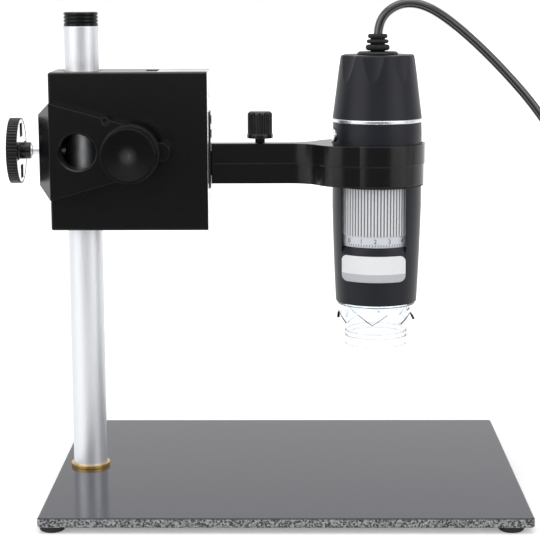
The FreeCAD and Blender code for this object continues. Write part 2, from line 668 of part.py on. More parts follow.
def bracket_front_outline(y):
    """Teardrop: two straight edges that run tangent into a round nose about the shaft."""
    nose = Vector(SHAFT_X, y, HEAD_HEIGHT)
    corner_x = BLOCK_LEFT + CHEEK_START
    reach = SHAFT_X - corner_x
    distance = math.hypot(reach, BRACKET_HALF_HEIGHT)
    slope = math.asin(BRACKET_NOSE_RADIUS / distance) - math.atan2(BRACKET_HALF_HEIGHT, reach)
    touch = Vector(-math.sin(slope), 0, math.cos(slope)) * BRACKET_NOSE_RADIUS
    upper_touch = nose + touch
    lower_touch = nose + Vector(touch.x, 0, -touch.z)
    upper_corner = Vector(corner_x, y, HEAD_HEIGHT + BRACKET_HALF_HEIGHT)
    lower_corner = Vector(corner_x, y, HEAD_HEIGHT - BRACKET_HALF_HEIGHT)
    upper_cheek = Vector(CHEEK_LEFT, y, HEAD_HEIGHT + CHEEK_HALF_HEIGHT)
    lower_cheek = Vector(CHEEK_LEFT, y, HEAD_HEIGHT - CHEEK_HALF_HEIGHT)
    tip = nose + RIGHT * BRACKET_NOSE_RADIUS
    return [Part.LineSegment(upper_corner, upper_touch).toShape(),
            Part.Arc(upper_touch, tip, lower_touch).toShape(),
            Part.LineSegment(lower_touch, lower_corner).toShape(),
            Part.LineSegment(lower_corner, lower_cheek).toShape(),
            Part.LineSegment(lower_cheek, upper_cheek).toShape(),
            Part.LineSegment(upper_cheek, upper_corner).toShape()]


def make_bracket():
    back = -BLOCK_FRONT
    body = outline_face(bracket_front_outline(BRACKET_FRONT)).extrude(BACK * (back - BRACKET_FRONT))
    corner_x = BLOCK_LEFT + CHEEK_START
    right = SHAFT_X + BRACKET_NOSE_RADIUS + 1
    bottom = HEAD_HEIGHT - BRACKET_HALF_HEIGHT - 1
    plan = [(corner_x, BRACKET_FRONT), (right, BRACKET_FRONT), (right, back),
            (CHEEK_LEFT + CHEEK_THICKNESS, back), (CHEEK_LEFT, back - CHEEK_BACK_CHAMFER),
            (CHEEK_LEFT, BRACKET_FRONT + CHEEK_SLANT)]
    plan_face = polygon_face([Vector(x, y, bottom) for x, y in plan])
    body = body.common(plan_face.extrude(UP * (2 * BRACKET_HALF_HEIGHT + 2)))
    lug = rod(BRACKET_LUG_RADIUS, Vector(SHAFT_X + BRACKET_LUG_RIGHT, BRACKET_FRONT, HEAD_HEIGHT), BACK,
              BRACKET_THICKNESS)
    body = joined([body, lug])
    body = body.cut(box(BLOCK_LEFT, BLOCK_RIGHT, BLOCK_FRONT, back + 1, BLOCK_BOTTOM, BLOCK_TOP))
    mouth = Vector(POLE_X, BRACKET_FRONT, HEAD_HEIGHT)
    flare = Part.makeCone(SOCKET_RADIUS + SOCKET_CHAMFER, SOCKET_RADIUS, SOCKET_CHAMFER, mouth, BACK)
    shaft_hole = rod(SHAFT_DIAMETER / 2 + LOOSE_GAP, Vector(SHAFT_X, BRACKET_FRONT, HEAD_HEIGHT), BACK,
                     BRACKET_THICKNESS)
    cuts = [rod(SOCKET_RADIUS, mouth, BACK, BRACKET_THICKNESS), flare, shaft_hole, clamp_hole()]
    return body.cut(cuts + bracket_screw_holes())


# Clamp screw: pad, screw, hub and wheel, from the pole out to the left

def make_clamp_pad():
    return rod(CLAMP_PAD_DIAMETER / 2, Vector(CLAMP_SCREW_RIGHT, 0, CLAMP_HEIGHT), RIGHT,
               CLAMP_PAD_THICKNESS)


def make_clamp_screw():
    left = CLAMP_WHEEL_RIGHT - CLAMP_WHEEL_WIDTH / 2
    screw = rod(CLAMP_SCREW_DIAMETER / 2, Vector(left, 0, CLAMP_HEIGHT), RIGHT, CLAMP_SCREW_RIGHT - left)
    step = rod(CLAMP_STEP_DIAMETER / 2, Vector(CLAMP_HUB_RIGHT, 0, CLAMP_HEIGHT), RIGHT, CLAMP_STEP_LENGTH)
    return joined([screw, step])


def make_clamp_hub():
    start = Vector(CLAMP_WHEEL_RIGHT, 0, CLAMP_HEIGHT)
    return tube(CLAMP_HUB_DIAMETER / 2, CLAMP_SCREW_DIAMETER / 2, start, RIGHT, CLAMP_HUB_LENGTH)


def make_clamp_wheel():
    left = Vector(CLAMP_WHEEL_RIGHT - CLAMP_WHEEL_WIDTH, 0, CLAMP_HEIGHT)
    radius = CLAMP_WHEEL_DIAMETER / 2
    wheel = ribbed_disc(radius, CLAMP_RIB_DEPTH, CLAMP_RIBS, left, RIGHT, CLAMP_WHEEL_WIDTH)
    dish = tube(radius - CLAMP_WHEEL_RIM, CLAMP_HUB_DIAMETER / 2, left + RIGHT * CLAMP_WHEEL_WEB, RIGHT,
                CLAMP_WHEEL_WIDTH - CLAMP_WHEEL_WEB)
    screw_end = left + RIGHT * (CLAMP_WHEEL_WIDTH / 2)
    return wheel.cut([dish, rod(CLAMP_SCREW_DIAMETER / 2, screw_end, RIGHT, CLAMP_WHEEL_WIDTH / 2)])


def make_clamp_wheel_face():
    right = CLAMP_WHEEL_RIGHT - CLAMP_FACE_SET_BACK
    left = CLAMP_WHEEL_RIGHT - CLAMP_WHEEL_WIDTH + CLAMP_WHEEL_WEB
    radius = CLAMP_WHEEL_DIAMETER / 2 - CLAMP_WHEEL_RIM
    centre = Vector(right - CLAMP_FACE_THICKNESS, 0, CLAMP_HEIGHT)
    disc = tube(radius, CLAMP_HUB_DIAMETER / 2, centre, RIGHT, CLAMP_FACE_THICKNESS)
    spacer = tube(CLAMP_HUB_DIAMETER / 2 + CLAMP_SPACER_WALL, CLAMP_HUB_DIAMETER / 2,
                  Vector(left, 0, CLAMP_HEIGHT), RIGHT, right - left)
    slot_middle = CLAMP_HEIGHT + radius * CLAMP_SLOT_OUT
    slot = box(right - CLAMP_FACE_THICKNESS, right, -CLAMP_SLOT_WIDTH / 2, CLAMP_SLOT_WIDTH / 2,
               slot_middle - CLAMP_SLOT_LENGTH / 2, slot_middle + CLAMP_SLOT_LENGTH / 2)
    return joined([disc, spacer]).cut(around(slot, CLAMP_SLOTS, centre, RIGHT))


# Focus shaft, pinion, rack and knobs

def make_pinion_shaft():
    start = KNOB_FRONT + KNOB_WALL
    end = REAR_KNOB_START + KNOB_LENGTH - KNOB_WALL
    return rod(SHAFT_DIAMETER / 2, Vector(SHAFT_X, start, HEAD_HEIGHT), BACK, end - start)


def involute(angle):
    return math.tan(angle) - angle


def make_pinion_gear():
    """Involute teeth, one of them centred on +X, on the shaft."""
    pressure = math.radians(GEAR_PRESSURE_ANGLE)
    base = PITCH_RADIUS * math.cos(pressure)
    half_tooth = (math.pi * GEAR_MODULE / 2 - GEAR_BACKLASH) / 2 / PITCH_RADIUS
    radii = [max(base, ROOT_RADIUS), (base + PITCH_RADIUS) / 2, PITCH_RADIUS,
             (PITCH_RADIUS + TIP_RADIUS) / 2,
             TIP_RADIUS]
    flank = []
    for r in radii:
        angle = half_tooth + involute(pressure) - involute(math.acos(min(1, base / r)))
        flank.append((r, angle))
    root = (ROOT_RADIUS, flank[0][1])
    tooth = [(r, -a) for r, a in [root] + flank] + [(r, a) for r, a in flank[::-1] + [root]]
    points = []
    for i in range(GEAR_TEETH):
        middle = 2 * math.pi * i / GEAR_TEETH
        for r, a in tooth:
            points.append(Vector(SHAFT_X + r * math.cos(middle + a), -PINION_WIDTH / 2,
                                 HEAD_HEIGHT + r * math.sin(middle + a)))
    gear = polygon_face(points).extrude(BACK * PINION_WIDTH)
    return gear.cut(rod(SHAFT_DIAMETER / 2, Vector(SHAFT_X, -PINION_WIDTH / 2, HEAD_HEIGHT), BACK,
                        PINION_WIDTH))


def rack_screw_places():
    return [HEAD_HEIGHT - RACK_SCREW_UP, HEAD_HEIGHT + RACK_SCREW_UP]


def rack_screw(z, head_radius):
    shank = rod(RACK_SCREW_DIAMETER / 2, Vector(BLOCK_RIGHT, 0, z), -RIGHT,
                BLOCK_RIGHT - SLIDE_LEFT + RACK_BACK / 2)
    head = rod(head_radius, Vector(BLOCK_RIGHT, 0, z), -RIGHT, RACK_SCREW_HEAD_HEIGHT)
    return joined([shank, head])


def make_rack_screws():
    screws = []
    for z in rack_screw_places():
        screw = rack_screw(z, RACK_SCREW_HEAD_DIAMETER / 2)
        key = rod(RACK_SCREW_KEY / 2, Vector(BLOCK_RIGHT, 0, z), -RIGHT, RACK_SCREW_HEAD_HEIGHT / 2)
        screws.append(screw.cut(key))
    return screws


def rack_screw_holes():
    return [rack_screw(z, RACK_SCREW_HEAD_DIAMETER / 2 + SCREW_HOLE_GAP) for z in rack_screw_places()]


def make_rack():
    """Straight-flanked teeth on a bar, with a tooth space opposite the shaft."""
    bottom = BLOCK_BOTTOM + RACK_END
    top = BLOCK_TOP - RACK_END
    bar = box(RACK_TIP_X, SLIDE_LEFT, -RACK_WIDTH / 2, RACK_WIDTH / 2, bottom, top)
    pitch = math.pi * GEAR_MODULE
    slope = math.tan(math.radians(GEAR_PRESSURE_ANGLE))
    half_space = pitch / 4 + GEAR_BACKLASH / 2
    count = int((top - bottom) / pitch / 2) + 2
    spaces = []
    for i in range(-count, count + 1):
        z = HEAD_HEIGHT + i * pitch
        wide = half_space + (RACK_PITCH_X - RACK_TIP_X) * slope
        narrow = half_space - (RACK_ROOT_X - RACK_PITCH_X) * slope
        corners = [(RACK_TIP_X - 1, z - wide - slope), (RACK_ROOT_X, z - narrow),
                   (RACK_ROOT_X, z + narrow), (RACK_TIP_X - 1, z + wide + slope)]
        space = polygon_face([Vector(x, -RACK_WIDTH / 2, h) for x, h in corners])
        spaces.append(space.extrude(BACK * RACK_WIDTH))
    bar = bar.cut(spaces)
    return bar.cut(rack_screw_holes())


def knob_screw(start, outward):
    """Set screw that runs down through the knob's rim onto the shaft."""
    y = start + outward * KNOB_RIM_WIDTH / 2
    return rod(KNOB_SCREW_DIAMETER / 2, Vector(SHAFT_X, y, HEAD_HEIGHT + SHAFT_DIAMETER / 2), UP,
               KNOB_SCREW_LENGTH)


def make_knob(start, outward):
    """Knob whose ribbed rim starts at start and whose face looks outward, -1 or 1."""
    axis = BACK * outward
    rim_centre = Vector(SHAFT_X, start, HEAD_HEIGHT)
    rim = ribbed_disc(KNOB_RIM_DIAMETER / 2, KNOB_RIB_DEPTH, KNOB_RIBS, rim_centre, axis, KNOB_RIM_WIDTH)
    body = Part.makeCone(KNOB_BODY_DIAMETER / 2, KNOB_FACE_DIAMETER / 2, KNOB_LENGTH - KNOB_RIM_WIDTH,
                         rim_centre + axis * KNOB_RIM_WIDTH, axis)
    front = rim_centre + axis * KNOB_LENGTH
    dish = Part.makeCone(KNOB_FACE_DIAMETER / 2 - KNOB_LIP, 0, KNOB_DISH, front, -axis)
    bore = rod(SHAFT_DIAMETER / 2, rim_centre, axis, KNOB_LENGTH - KNOB_WALL)
    screw_hole = rod(KNOB_SCREW_DIAMETER / 2,
                     Vector(SHAFT_X, start + outward * KNOB_RIM_WIDTH / 2, HEAD_HEIGHT),
                     UP, KNOB_RIM_DIAMETER)
    return joined([rim, body]).cut([dish, bore, screw_hole])


def make_focus_slide():
    slide = dovetail(0, BLOCK_BOTTOM, BLOCK_TOP, BLOCK_RIGHT)
    return slide.cut(rack_screw_holes() + mount_rivet_shapes())


# Arm mount, arm, liner and thumb screw

def mount_rivet_shapes():
    rivets = []
    for i in range(2):
        z = ARM_MIDDLE + MOUNT_RIVET_UP + i * MOUNT_RIVET_PITCH
        start = Vector(MOUNT_RIGHT, 0, z)
        shank = rod(MOUNT_RIVET_DIAMETER / 2, start, -RIGHT, MOUNT_THICKNESS + MOUNT_RIVET_LENGTH)
        head = rod(MOUNT_RIVET_HEAD_DIAMETER / 2, start, RIGHT, MOUNT_RIVET_HEAD_HEIGHT)
        rivets.append(joined([shank, head]))
    return rivets


def make_arm_mount():
    flange = box(BLOCK_RIGHT, MOUNT_RIGHT, -MOUNT_DEPTH / 2, MOUNT_DEPTH / 2,
                 ARM_MIDDLE - MOUNT_BELOW, ARM_MIDDLE + MOUNT_ABOVE)
    tongue = box(BLOCK_RIGHT, MOUNT_RIGHT + TONGUE_LENGTH, -TONGUE_DEPTH / 2, TONGUE_DEPTH / 2,
                 ARM_MIDDLE - TONGUE_HEIGHT / 2, ARM_MIDDLE + TONGUE_HEIGHT / 2)
    return joined([flange, tongue]).cut(mount_rivet_shapes())


def arm_half(bottom, top, inset):
    """One level of the arm: a bar that flares into shoulders and a ring."""
    ring_radius = RING_RADIUS - inset
    half = ARM_DEPTH / 2 - inset

    def flare_point(left, front):
        return Vector(SCOPE_RIGHT - ring_radius * left, -front, bottom)

    start = Vector(SCOPE_RIGHT - RING_RADIUS * FLARE_START, -half, bottom)
    bend = flare_point(FLARE_BEND[0], half + ring_radius * FLARE_BEND[1])
    neck = flare_point(FLARE_NECK[0], ring_radius * FLARE_NECK[1])
    shoulder = flare_point(FLARE_SHOULDER[0], ring_radius * FLARE_SHOULDER[1])
    touch = flare_point(FLARE_END, ring_radius * math.sqrt(1 - FLARE_END ** 2))

    def mirrored(point):
        return Vector(point.x, -point.y, point.z)

    left_front = Vector(ARM_LEFT, -half, bottom)
    edges = [Part.LineSegment(mirrored(left_front), left_front).toShape(),
             Part.LineSegment(left_front, start).toShape(),
             Part.Arc(start, bend, neck).toShape(),
             Part.Arc(neck, shoulder, touch).toShape(),
             Part.LineSegment(touch, mirrored(touch)).toShape(),
             Part.Arc(mirrored(touch), mirrored(shoulder), mirrored(neck)).toShape(),
             Part.Arc(mirrored(neck), mirrored(bend), mirrored(start)).toShape(),
             Part.LineSegment(mirrored(start), mirrored(left_front)).toShape()]
    web = outline_face(edges).extrude(UP * (top - bottom))
    ring = rod(ring_radius, SCOPE + UP * bottom, UP, top - bottom)
    return [web, ring]


def make_arm():
    solids = arm_half(ARM_BOTTOM, ARM_MIDDLE, ARM_STEP) + arm_half(ARM_MIDDLE, ARM_TOP, 0)
    arm = joined(solids)
    tongue_end = MOUNT_RIGHT + TONGUE_LENGTH + LOOSE_GAP
    slot = box(ARM_LEFT - 1, tongue_end, -TONGUE_DEPTH / 2 - WAY_GAP, TONGUE_DEPTH / 2 + WAY_GAP,
               ARM_MIDDLE - TONGUE_HEIGHT / 2 - WAY_GAP, ARM_MIDDLE + TONGUE_HEIGHT / 2 + WAY_GAP)
    screw_hole = rod(LOCK_SCREW_DIAMETER / 2 + LOCK_HOLE_GAP, Vector(LOCK_X, 0, ARM_MIDDLE), UP,
                     ARM_HEIGHT / 2)
    bore = rod(RING_BORE, SCOPE + UP * ARM_BOTTOM, UP, ARM_HEIGHT)
    return arm.cut([slot, screw_hole, bore])


def make_ring_liner():
    low = ARM_BOTTOM - LINER_LIP_HEIGHT
    profile = [(LINER_BORE, low), (LINER_RADIUS + LINER_LIP_WIDTH, low),
               (LINER_RADIUS + LINER_LIP_WIDTH, ARM_BOTTOM),
               (LINER_RADIUS, ARM_BOTTOM), (LINER_RADIUS, ARM_TOP), (LINER_BORE, ARM_TOP)]
    return turned(profile, SCOPE)


def make_arm_lock_pad():
    return rod(LOCK_SCREW_DIAMETER / 2, Vector(LOCK_X, 0, LOCK_PAD_BOTTOM), UP, LOCK_PAD_HEIGHT)


def make_arm_lock_screw():
    """Steel screw: thin thread in the arm, thicker neck above it, end in the knob."""
    thread = LOCK_SCREW_DIAMETER / 2
    neck = LOCK_NECK_DIAMETER / 2
    neck_bottom = ARM_TOP + LOCK_NECK_GAP
    end = LOCK_KNOB_BOTTOM + LOCK_KNOB_HEIGHT / 2
    profile = [(0, LOCK_SCREW_BOTTOM), (thread, LOCK_SCREW_BOTTOM), (thread, neck_bottom),
               (neck, neck_bottom),
               (neck, LOCK_KNOB_BOTTOM), (thread, LOCK_KNOB_BOTTOM), (thread, end), (0, end)]
    return turned(profile, Vector(LOCK_X, 0, 0))


def make_arm_lock_knob():
    radius = LOCK_KNOB_DIAMETER / 2
    base = Vector(LOCK_X, 0, LOCK_KNOB_BOTTOM)
    top = LOCK_KNOB_HEIGHT
    foot = radius + LOCK_KNOB_SKIRT
    profile = [(0, 0), (foot, 0), (foot, LOCK_KNOB_SKIRT_HEIGHT), (radius, LOCK_KNOB_FLUTES_UP),
               (radius, top - LOCK_KNOB_CHAMFER), (radius - LOCK_KNOB_CHAMFER, top), (0, top)]
    knob = turned(profile, base)
    flute_middle = radius + LOCK_KNOB_FLUTE_RADIUS - LOCK_KNOB_FLUTE_DEPTH
    flute = rod(LOCK_KNOB_FLUTE_RADIUS, base + RIGHT * flute_middle + UP * LOCK_KNOB_FLUTES_UP, UP, top)
    knob = knob.cut(around(flute, LOCK_KNOB_FLUTES, base))
    return knob.cut(rod(LOCK_SCREW_DIAMETER / 2, base, UP, LOCK_KNOB_HEIGHT / 2))


# Microscope shells

def shell_profile(inset):
    """Edges of half the lower shell's outline: an arc from the foot to the grip, then straight."""
    foot = SCOPE + Vector(SHELL_BOTTOM_RADIUS - inset, 0, SCOPE_BOTTOM)
    waist = SCOPE + Vector(SHELL_WAIST_RADIUS - inset, 0, SCOPE_BOTTOM + SHELL_WAIST_UP)
    grip = SCOPE + Vector(SHELL_GRIP_RADIUS - inset, 0, SCOPE_BOTTOM + SHELL_GRIP_UP)
    grip_top = SCOPE + Vector(SHELL_GRIP_RADIUS - inset, 0, SHELL_TOP - SHELL_GRIP_DOWN)
    rim = SCOPE + Vector(SHELL_TOP_RADIUS - inset, 0, SHELL_TOP)
    axis_top = SCOPE + UP * SHELL_TOP
    axis_bottom = SCOPE + UP * SCOPE_BOTTOM
    return [Part.Arc(foot, waist, grip).toShape(),
            Part.LineSegment(grip, grip_top).toShape(),
            Part.LineSegment(grip_top, rim).toShape(),
            Part.LineSegment(rim, axis_top).toShape(),
            Part.LineSegment(axis_top, axis_bottom).toShape(),
            Part.LineSegment(axis_bottom, foot).toShape()]


def shell_form(inset):
    return outline_face(shell_profile(inset)).revolve(SCOPE, UP, 360)


def button_frame():
    """Button's centre on the shell's axis, and its inward direction."""
    turn = math.radians(BUTTON_AZIMUTH)
    return SCOPE + UP * (SHELL_TOP - BUTTON_DOWN), Vector(math.cos(turn), math.sin(turn), 0)


def ledge(bottom):
    return tube(SHELL_GRIP_RADIUS, SHELL_LEDGE_RADIUS, SCOPE + UP * bottom, UP, LEDGE_THICKNESS)


def shell_screw_places():
    """Two screws hold the lower shells together, just above the chips on the sensor board."""
    z = SENSOR_BOARD_TOP + CHIP_HEIGHT + LOOSE_GAP + SHELL_BOSS_RADIUS
    return [Vector(SCOPE_RIGHT + side * SHELL_SCREW_ASIDE, 0, z) for side in (-1, 1)]


def window_sill():
    """Wedge cut from the wall below the window, deepest at the window's lower edge."""
    inner = SHELL_WAIST_RADIUS - SILL_DEPTH
    outer = SHELL_GRIP_RADIUS + 1
    drop = (outer - inner) * SILL_HEIGHT / SILL_DEPTH
    profile = [(inner, WINDOW_BOTTOM), (outer, WINDOW_BOTTOM), (outer, WINDOW_BOTTOM - drop)]
    width = box(SCOPE_RIGHT - WINDOW_WIDTH / 2, SCOPE_RIGHT + WINDOW_WIDTH / 2, -outer, 0,
                WINDOW_BOTTOM - drop, WINDOW_BOTTOM)
    return turned(profile, SCOPE).common(width)


def make_shells():
    """Front and back halves of the lower shell, with window, ledges and button hole."""
    outer = shell_form(0)
    shell = outer.cut(shell_form(SHELL_WALL))
    ledges = [ledge(LEDGE_BOTTOM).common(outer), ledge(UPPER_LEDGE_BOTTOM).common(outer)]
    bosses = []
    for place in shell_screw_places():
        boss = rod(SHELL_BOSS_RADIUS, place - BACK * SHELL_GRIP_RADIUS, BACK, 2 * SHELL_GRIP_RADIUS)
        bosses.append(boss.common(outer))
    shell = joined([shell] + ledges + bosses)
    window = box(SCOPE_RIGHT - WINDOW_WIDTH / 2, SCOPE_RIGHT + WINDOW_WIDTH / 2, -SHELL_GRIP_RADIUS - 1, 0,
                 WINDOW_BOTTOM, WINDOW_TOP)
    centre, inward = button_frame()
    hole = rod(BUTTON_RADIUS + BUTTON_HOLE_GAP, centre - inward * SHELL_GRIP_RADIUS, inward,
               SHELL_GRIP_RADIUS / 2)
    shell = shell.cut([window, window_sill(), hole] + shell_screw_shapes())
    size = SHELL_GRIP_RADIUS + 1
    front = shell.common(box(SCOPE_RIGHT - size, SCOPE_RIGHT + size, -size, 0, SCOPE_BOTTOM, SHELL_TOP))
    back = shell.common(box(SCOPE_RIGHT - size, SCOPE_RIGHT + size, 0, size, SCOPE_BOTTOM, SHELL_TOP))
    return front, back


def shell_screw_shapes():
    """Screws with their heads at the back, sunk in the back shell's bosses."""
    screws = []
    for place in shell_screw_places():
        start = place + BACK * (SHELL_SCREW_LENGTH / 2)
        shank = rod(SHELL_SCREW_DIAMETER / 2, start, -BACK, SHELL_SCREW_LENGTH)
        head = rod(SHELL_SCREW_HEAD_DIAMETER / 2, start, BACK, SHELL_SCREW_HEAD_HEIGHT)
        screws.append(joined([shank, head]))
    return screws


def make_trim_ring():
    inner = TRIM_RADIUS - TRIM_WALL
    profile = [(inner, SHELL_TOP), (TRIM_RADIUS - TRIM_CHAMFER, SHELL_TOP),
               (TRIM_RADIUS, SHELL_TOP + TRIM_CHAMFER),
               (TRIM_RADIUS, UPPER_BOTTOM - TRIM_CHAMFER), (TRIM_RADIUS - TRIM_CHAMFER, UPPER_BOTTOM),
               (inner, UPPER_BOTTOM)]
    return turned(profile, SCOPE)


def upper_form(inset, top):
    """Upper shell's form, set in by inset: two tapers, the lower one steeper, closed flat above."""
    return turned([(0, UPPER_BOTTOM), (UPPER_BOTTOM_RADIUS - inset, UPPER_BOTTOM),
                   (UPPER_MIDDLE_RADIUS - inset, UPPER_BOTTOM + UPPER_MIDDLE_UP),
                   (UPPER_TOP_RADIUS - inset, top), (0, top)], SCOPE)


def make_upper_cap():
    """Upper shell with eight hollows that deepen from a round point to its top edge."""
    outer = upper_form(0, UPPER_TOP)
    rim = [e for e in outer.Edges if e.BoundBox.ZMin > UPPER_TOP - 0.01 and e.BoundBox.XLength > 1]
    outer = outer.makeFillet(UPPER_TOP_ROUNDING, rim)
    start_z = UPPER_TOP - SCALLOP_HEIGHT
    start_radius = UPPER_TOP_RADIUS + (UPPER_MIDDLE_RADIUS - UPPER_TOP_RADIUS) * SCALLOP_START
    end_radius = UPPER_TOP_RADIUS - SCALLOP_DEPTH
    bottom = SCOPE + Vector(0, -start_radius - SCALLOP_RADIUS, start_z)
    top = SCOPE + Vector(0, -end_radius - SCALLOP_RADIUS, UPPER_TOP)
    direction = top - bottom
    direction.normalize()
    cutter = rod(SCALLOP_RADIUS, bottom - direction * SCALLOP_OVERRUN, direction,
                 SCALLOP_HEIGHT + 2 * SCALLOP_OVERRUN)
    outer = outer.cut(around(cutter, SCALLOPS, SCOPE))
    return outer.cut(upper_form(UPPER_WALL + SCALLOP_DEPTH / 2, UPPER_TOP - UPPER_WALL))


def make_cap_collar():
    top = UPPER_TOP + COLLAR_HEIGHT
    profile = [(0, UPPER_TOP), (COLLAR_RADIUS, UPPER_TOP), (COLLAR_RADIUS, top - COLLAR_CHAMFER_HEIGHT),
               (COLLAR_RADIUS - COLLAR_CHAMFER, top), (0, top)]
    return turned(profile, SCOPE)


def make_strain_relief():
    """Three ribs that shrink upwards on a core, ending square where the cable leaves."""
    z = UPPER_TOP + COLLAR_HEIGHT
    profile = [(0, z)]
    for radius, height in zip(RELIEF_RIB_RADII, RELIEF_RIB_HEIGHTS):
        profile += [(RELIEF_CORE_RADIUS, z), (RELIEF_CORE_RADIUS, z + RELIEF_RIB_GAP),
                    (radius, z + RELIEF_RIB_GAP), (radius, z + RELIEF_RIB_GAP + height)]
        z += RELIEF_RIB_GAP + height
    profile.append((0, z))
    bore = rod(CABLE_RADIUS, SCOPE + UP * (z - RELIEF_BORE_DEPTH), UP, RELIEF_BORE_DEPTH)
    return turned(profile, SCOPE).cut(bore)


def make_label_plate():
    """Blank sticker that follows the front shell."""
    outer = shell_form(-LABEL_THICKNESS)
    skin = outer.cut(shell_form(0))
    bottom = SCOPE_BOTTOM + LABEL_UP
    left = SCOPE_RIGHT - LABEL_WIDTH / 2
    window = box(left, left + LABEL_WIDTH, -SHELL_GRIP_RADIUS - 1, -SHELL_GRIP_RADIUS / 3, bottom,
                 bottom + LABEL_HEIGHT)
    corners = [e for e in window.Edges if e.BoundBox.YLength > 1]
    return skin.common(window.makeFillet(LABEL_CORNER, corners))


# Inside the microscope

def make_hood():
    """Clear hood: a spigot in the shell, an outer skirt with a pointed edge and an inner cup."""
    top = SCOPE_BOTTOM
    spigot_radius = SHELL_BOTTOM_RADIUS - SHELL_WALL - RUNNING_GAP
    cup_bottom = top - HOOD_CUP_LENGTH
    cup_inner = HOOD_CUP_RADIUS - HOOD_WALL
    skirt_inner = HOOD_SKIRT_RADIUS - HOOD_WALL
    spigot = tube(spigot_radius, cup_inner, SCOPE + UP * top, UP, HOOD_SPIGOT_HEIGHT)
    web = tube(HOOD_SKIRT_RADIUS, cup_inner, SCOPE + UP * (top - HOOD_WALL), UP, HOOD_WALL)
    skirt = tube(HOOD_SKIRT_RADIUS, skirt_inner, SCOPE + UP * (top - HOOD_SKIRT_LONG), UP, HOOD_SKIRT_LONG)
    cup = tube(HOOD_CUP_RADIUS, cup_inner, SCOPE + UP * cup_bottom, UP, HOOD_CUP_LENGTH)
    half_gap = math.pi * HOOD_SKIRT_RADIUS / HOOD_POINTS
    low = top - HOOD_SKIRT_LONG
    notch_points = [Vector(SCOPE_RIGHT - half_gap, -HOOD_SKIRT_RADIUS - 1, low),
                    Vector(SCOPE_RIGHT + half_gap, -HOOD_SKIRT_RADIUS - 1, low),
                    Vector(SCOPE_RIGHT, -HOOD_SKIRT_RADIUS - 1, top - HOOD_SKIRT_SHORT)]
    notch = polygon_face(notch_points).extrude(BACK * (HOOD_SKIRT_RADIUS - HOOD_CUP_RADIUS))
    notch.rotate(SCOPE, UP, 180 / HOOD_POINTS)
    skirt = skirt.cut(around(notch, HOOD_POINTS, SCOPE))
    for i in range(2):
        groove = SCOPE + UP * (cup_bottom + HOOD_GROOVE_UP + i * HOOD_GROOVE_PITCH)
        cup = cup.cut(tube(HOOD_CUP_RADIUS + 1, HOOD_CUP_RADIUS - HOOD_GROOVE, groove, UP, 2 * HOOD_GROOVE))
    return joined([spigot, web, skirt, cup])


def make_led_board():
    radius = SHELL_BOTTOM_RADIUS - SHELL_WALL - RUNNING_GAP
    return tube(radius, LED_BOARD_HOLE, SCOPE + UP * LED_BOARD_BOTTOM, UP, LED_BOARD_THICKNESS)


def make_leds():
    place = SCOPE + RIGHT * LED_RING_RADIUS
    profile = [(0, LED_BOARD_BOTTOM), (0, LED_BOARD_BOTTOM - LED_HEIGHT)]
    for degrees in (30, 60, 90):
        turn = math.radians(degrees)
        profile.append((LED_RADIUS * math.sin(turn),
                        LED_BOARD_BOTTOM - LED_HEIGHT + LED_RADIUS * (1 - math.cos(turn))))
    profile.append((LED_RADIUS, LED_BOARD_BOTTOM))
    return around(turned(profile, place), LED_COUNT, SCOPE)


def make_chassis():
    """Guide tube for the lens, with straight slots and a flange that carries the sensor board."""
    bore = GUIDE_RADIUS - GUIDE_WALL
    guide = tube(GUIDE_RADIUS, bore, SCOPE + UP * LED_BOARD_TOP, UP, FLANGE_TOP - LED_BOARD_TOP)
    flange = tube(INNER_RADIUS - LOOSE_GAP, bore, SCOPE + UP * FLANGE_BOTTOM, UP, GUIDE_FLANGE)
    reach = LENS_TRAVEL + LENS_PIN_DIAMETER / 2 + LOOSE_GAP
    middle = SCOPE_BOTTOM + LENS_UP
    slot = box(SCOPE_RIGHT - GUIDE_RADIUS - 1, SCOPE_RIGHT + GUIDE_RADIUS + 1, -GUIDE_SLOT_WIDTH / 2,
               GUIDE_SLOT_WIDTH / 2, middle - reach, middle + reach)
    return joined([guide, flange]).cut(slot)


def make_focus_wheel():
    """Ribbed turning sleeve; its finer lower band carries the scale ring."""
    low = WINDOW_BOTTOM + SCALE_HEIGHT
    bore = GUIDE_RADIUS + RUNNING_GAP
    ribs = ribbed_disc(WHEEL_RADIUS, WHEEL_RIB_DEPTH, WHEEL_RIBS, SCOPE + UP * low, UP, WINDOW_TOP - low)
    hub = rod(SCALE_RADIUS - SCALE_WALL, SCOPE + UP * WINDOW_BOTTOM, UP, SCALE_HEIGHT)
    return joined([ribs, hub]).cut(rod(bore, SCOPE + UP * WINDOW_BOTTOM, UP, WINDOW_HEIGHT))


def make_scale_ring():
    return tube(SCALE_RADIUS, SCALE_RADIUS - SCALE_WALL, SCOPE + UP * WINDOW_BOTTOM, UP, SCALE_HEIGHT)


def make_lens_carriage():
    """Ring that slides in the guide tube, two side pins and the lens barrel."""
    middle = SCOPE_BOTTOM + LENS_UP
    outer = GUIDE_RADIUS - GUIDE_WALL - RUNNING_GAP
    ring = rod(outer, SCOPE + UP * (middle - LENS_RING_HEIGHT / 2), UP, LENS_RING_HEIGHT)
    barrel = rod(LENS_BARREL_RADIUS, SCOPE + UP * (middle - LENS_BARREL_HEIGHT / 2), UP, LENS_BARREL_HEIGHT)
    pin_reach = GUIDE_RADIUS - LOOSE_GAP / 2
    pins = rod(LENS_PIN_DIAMETER / 2, Vector(SCOPE_RIGHT - pin_reach, 0, middle), RIGHT, 2 * pin_reach)
    bore_radius = LENS_BARREL_RADIUS - LENS_BARREL_WALL
    bore = rod(bore_radius, SCOPE + UP * (middle - LENS_BARREL_HEIGHT / 2), UP, LENS_BARREL_HEIGHT)
    return joined([ring, barrel, pins]).cut(bore)


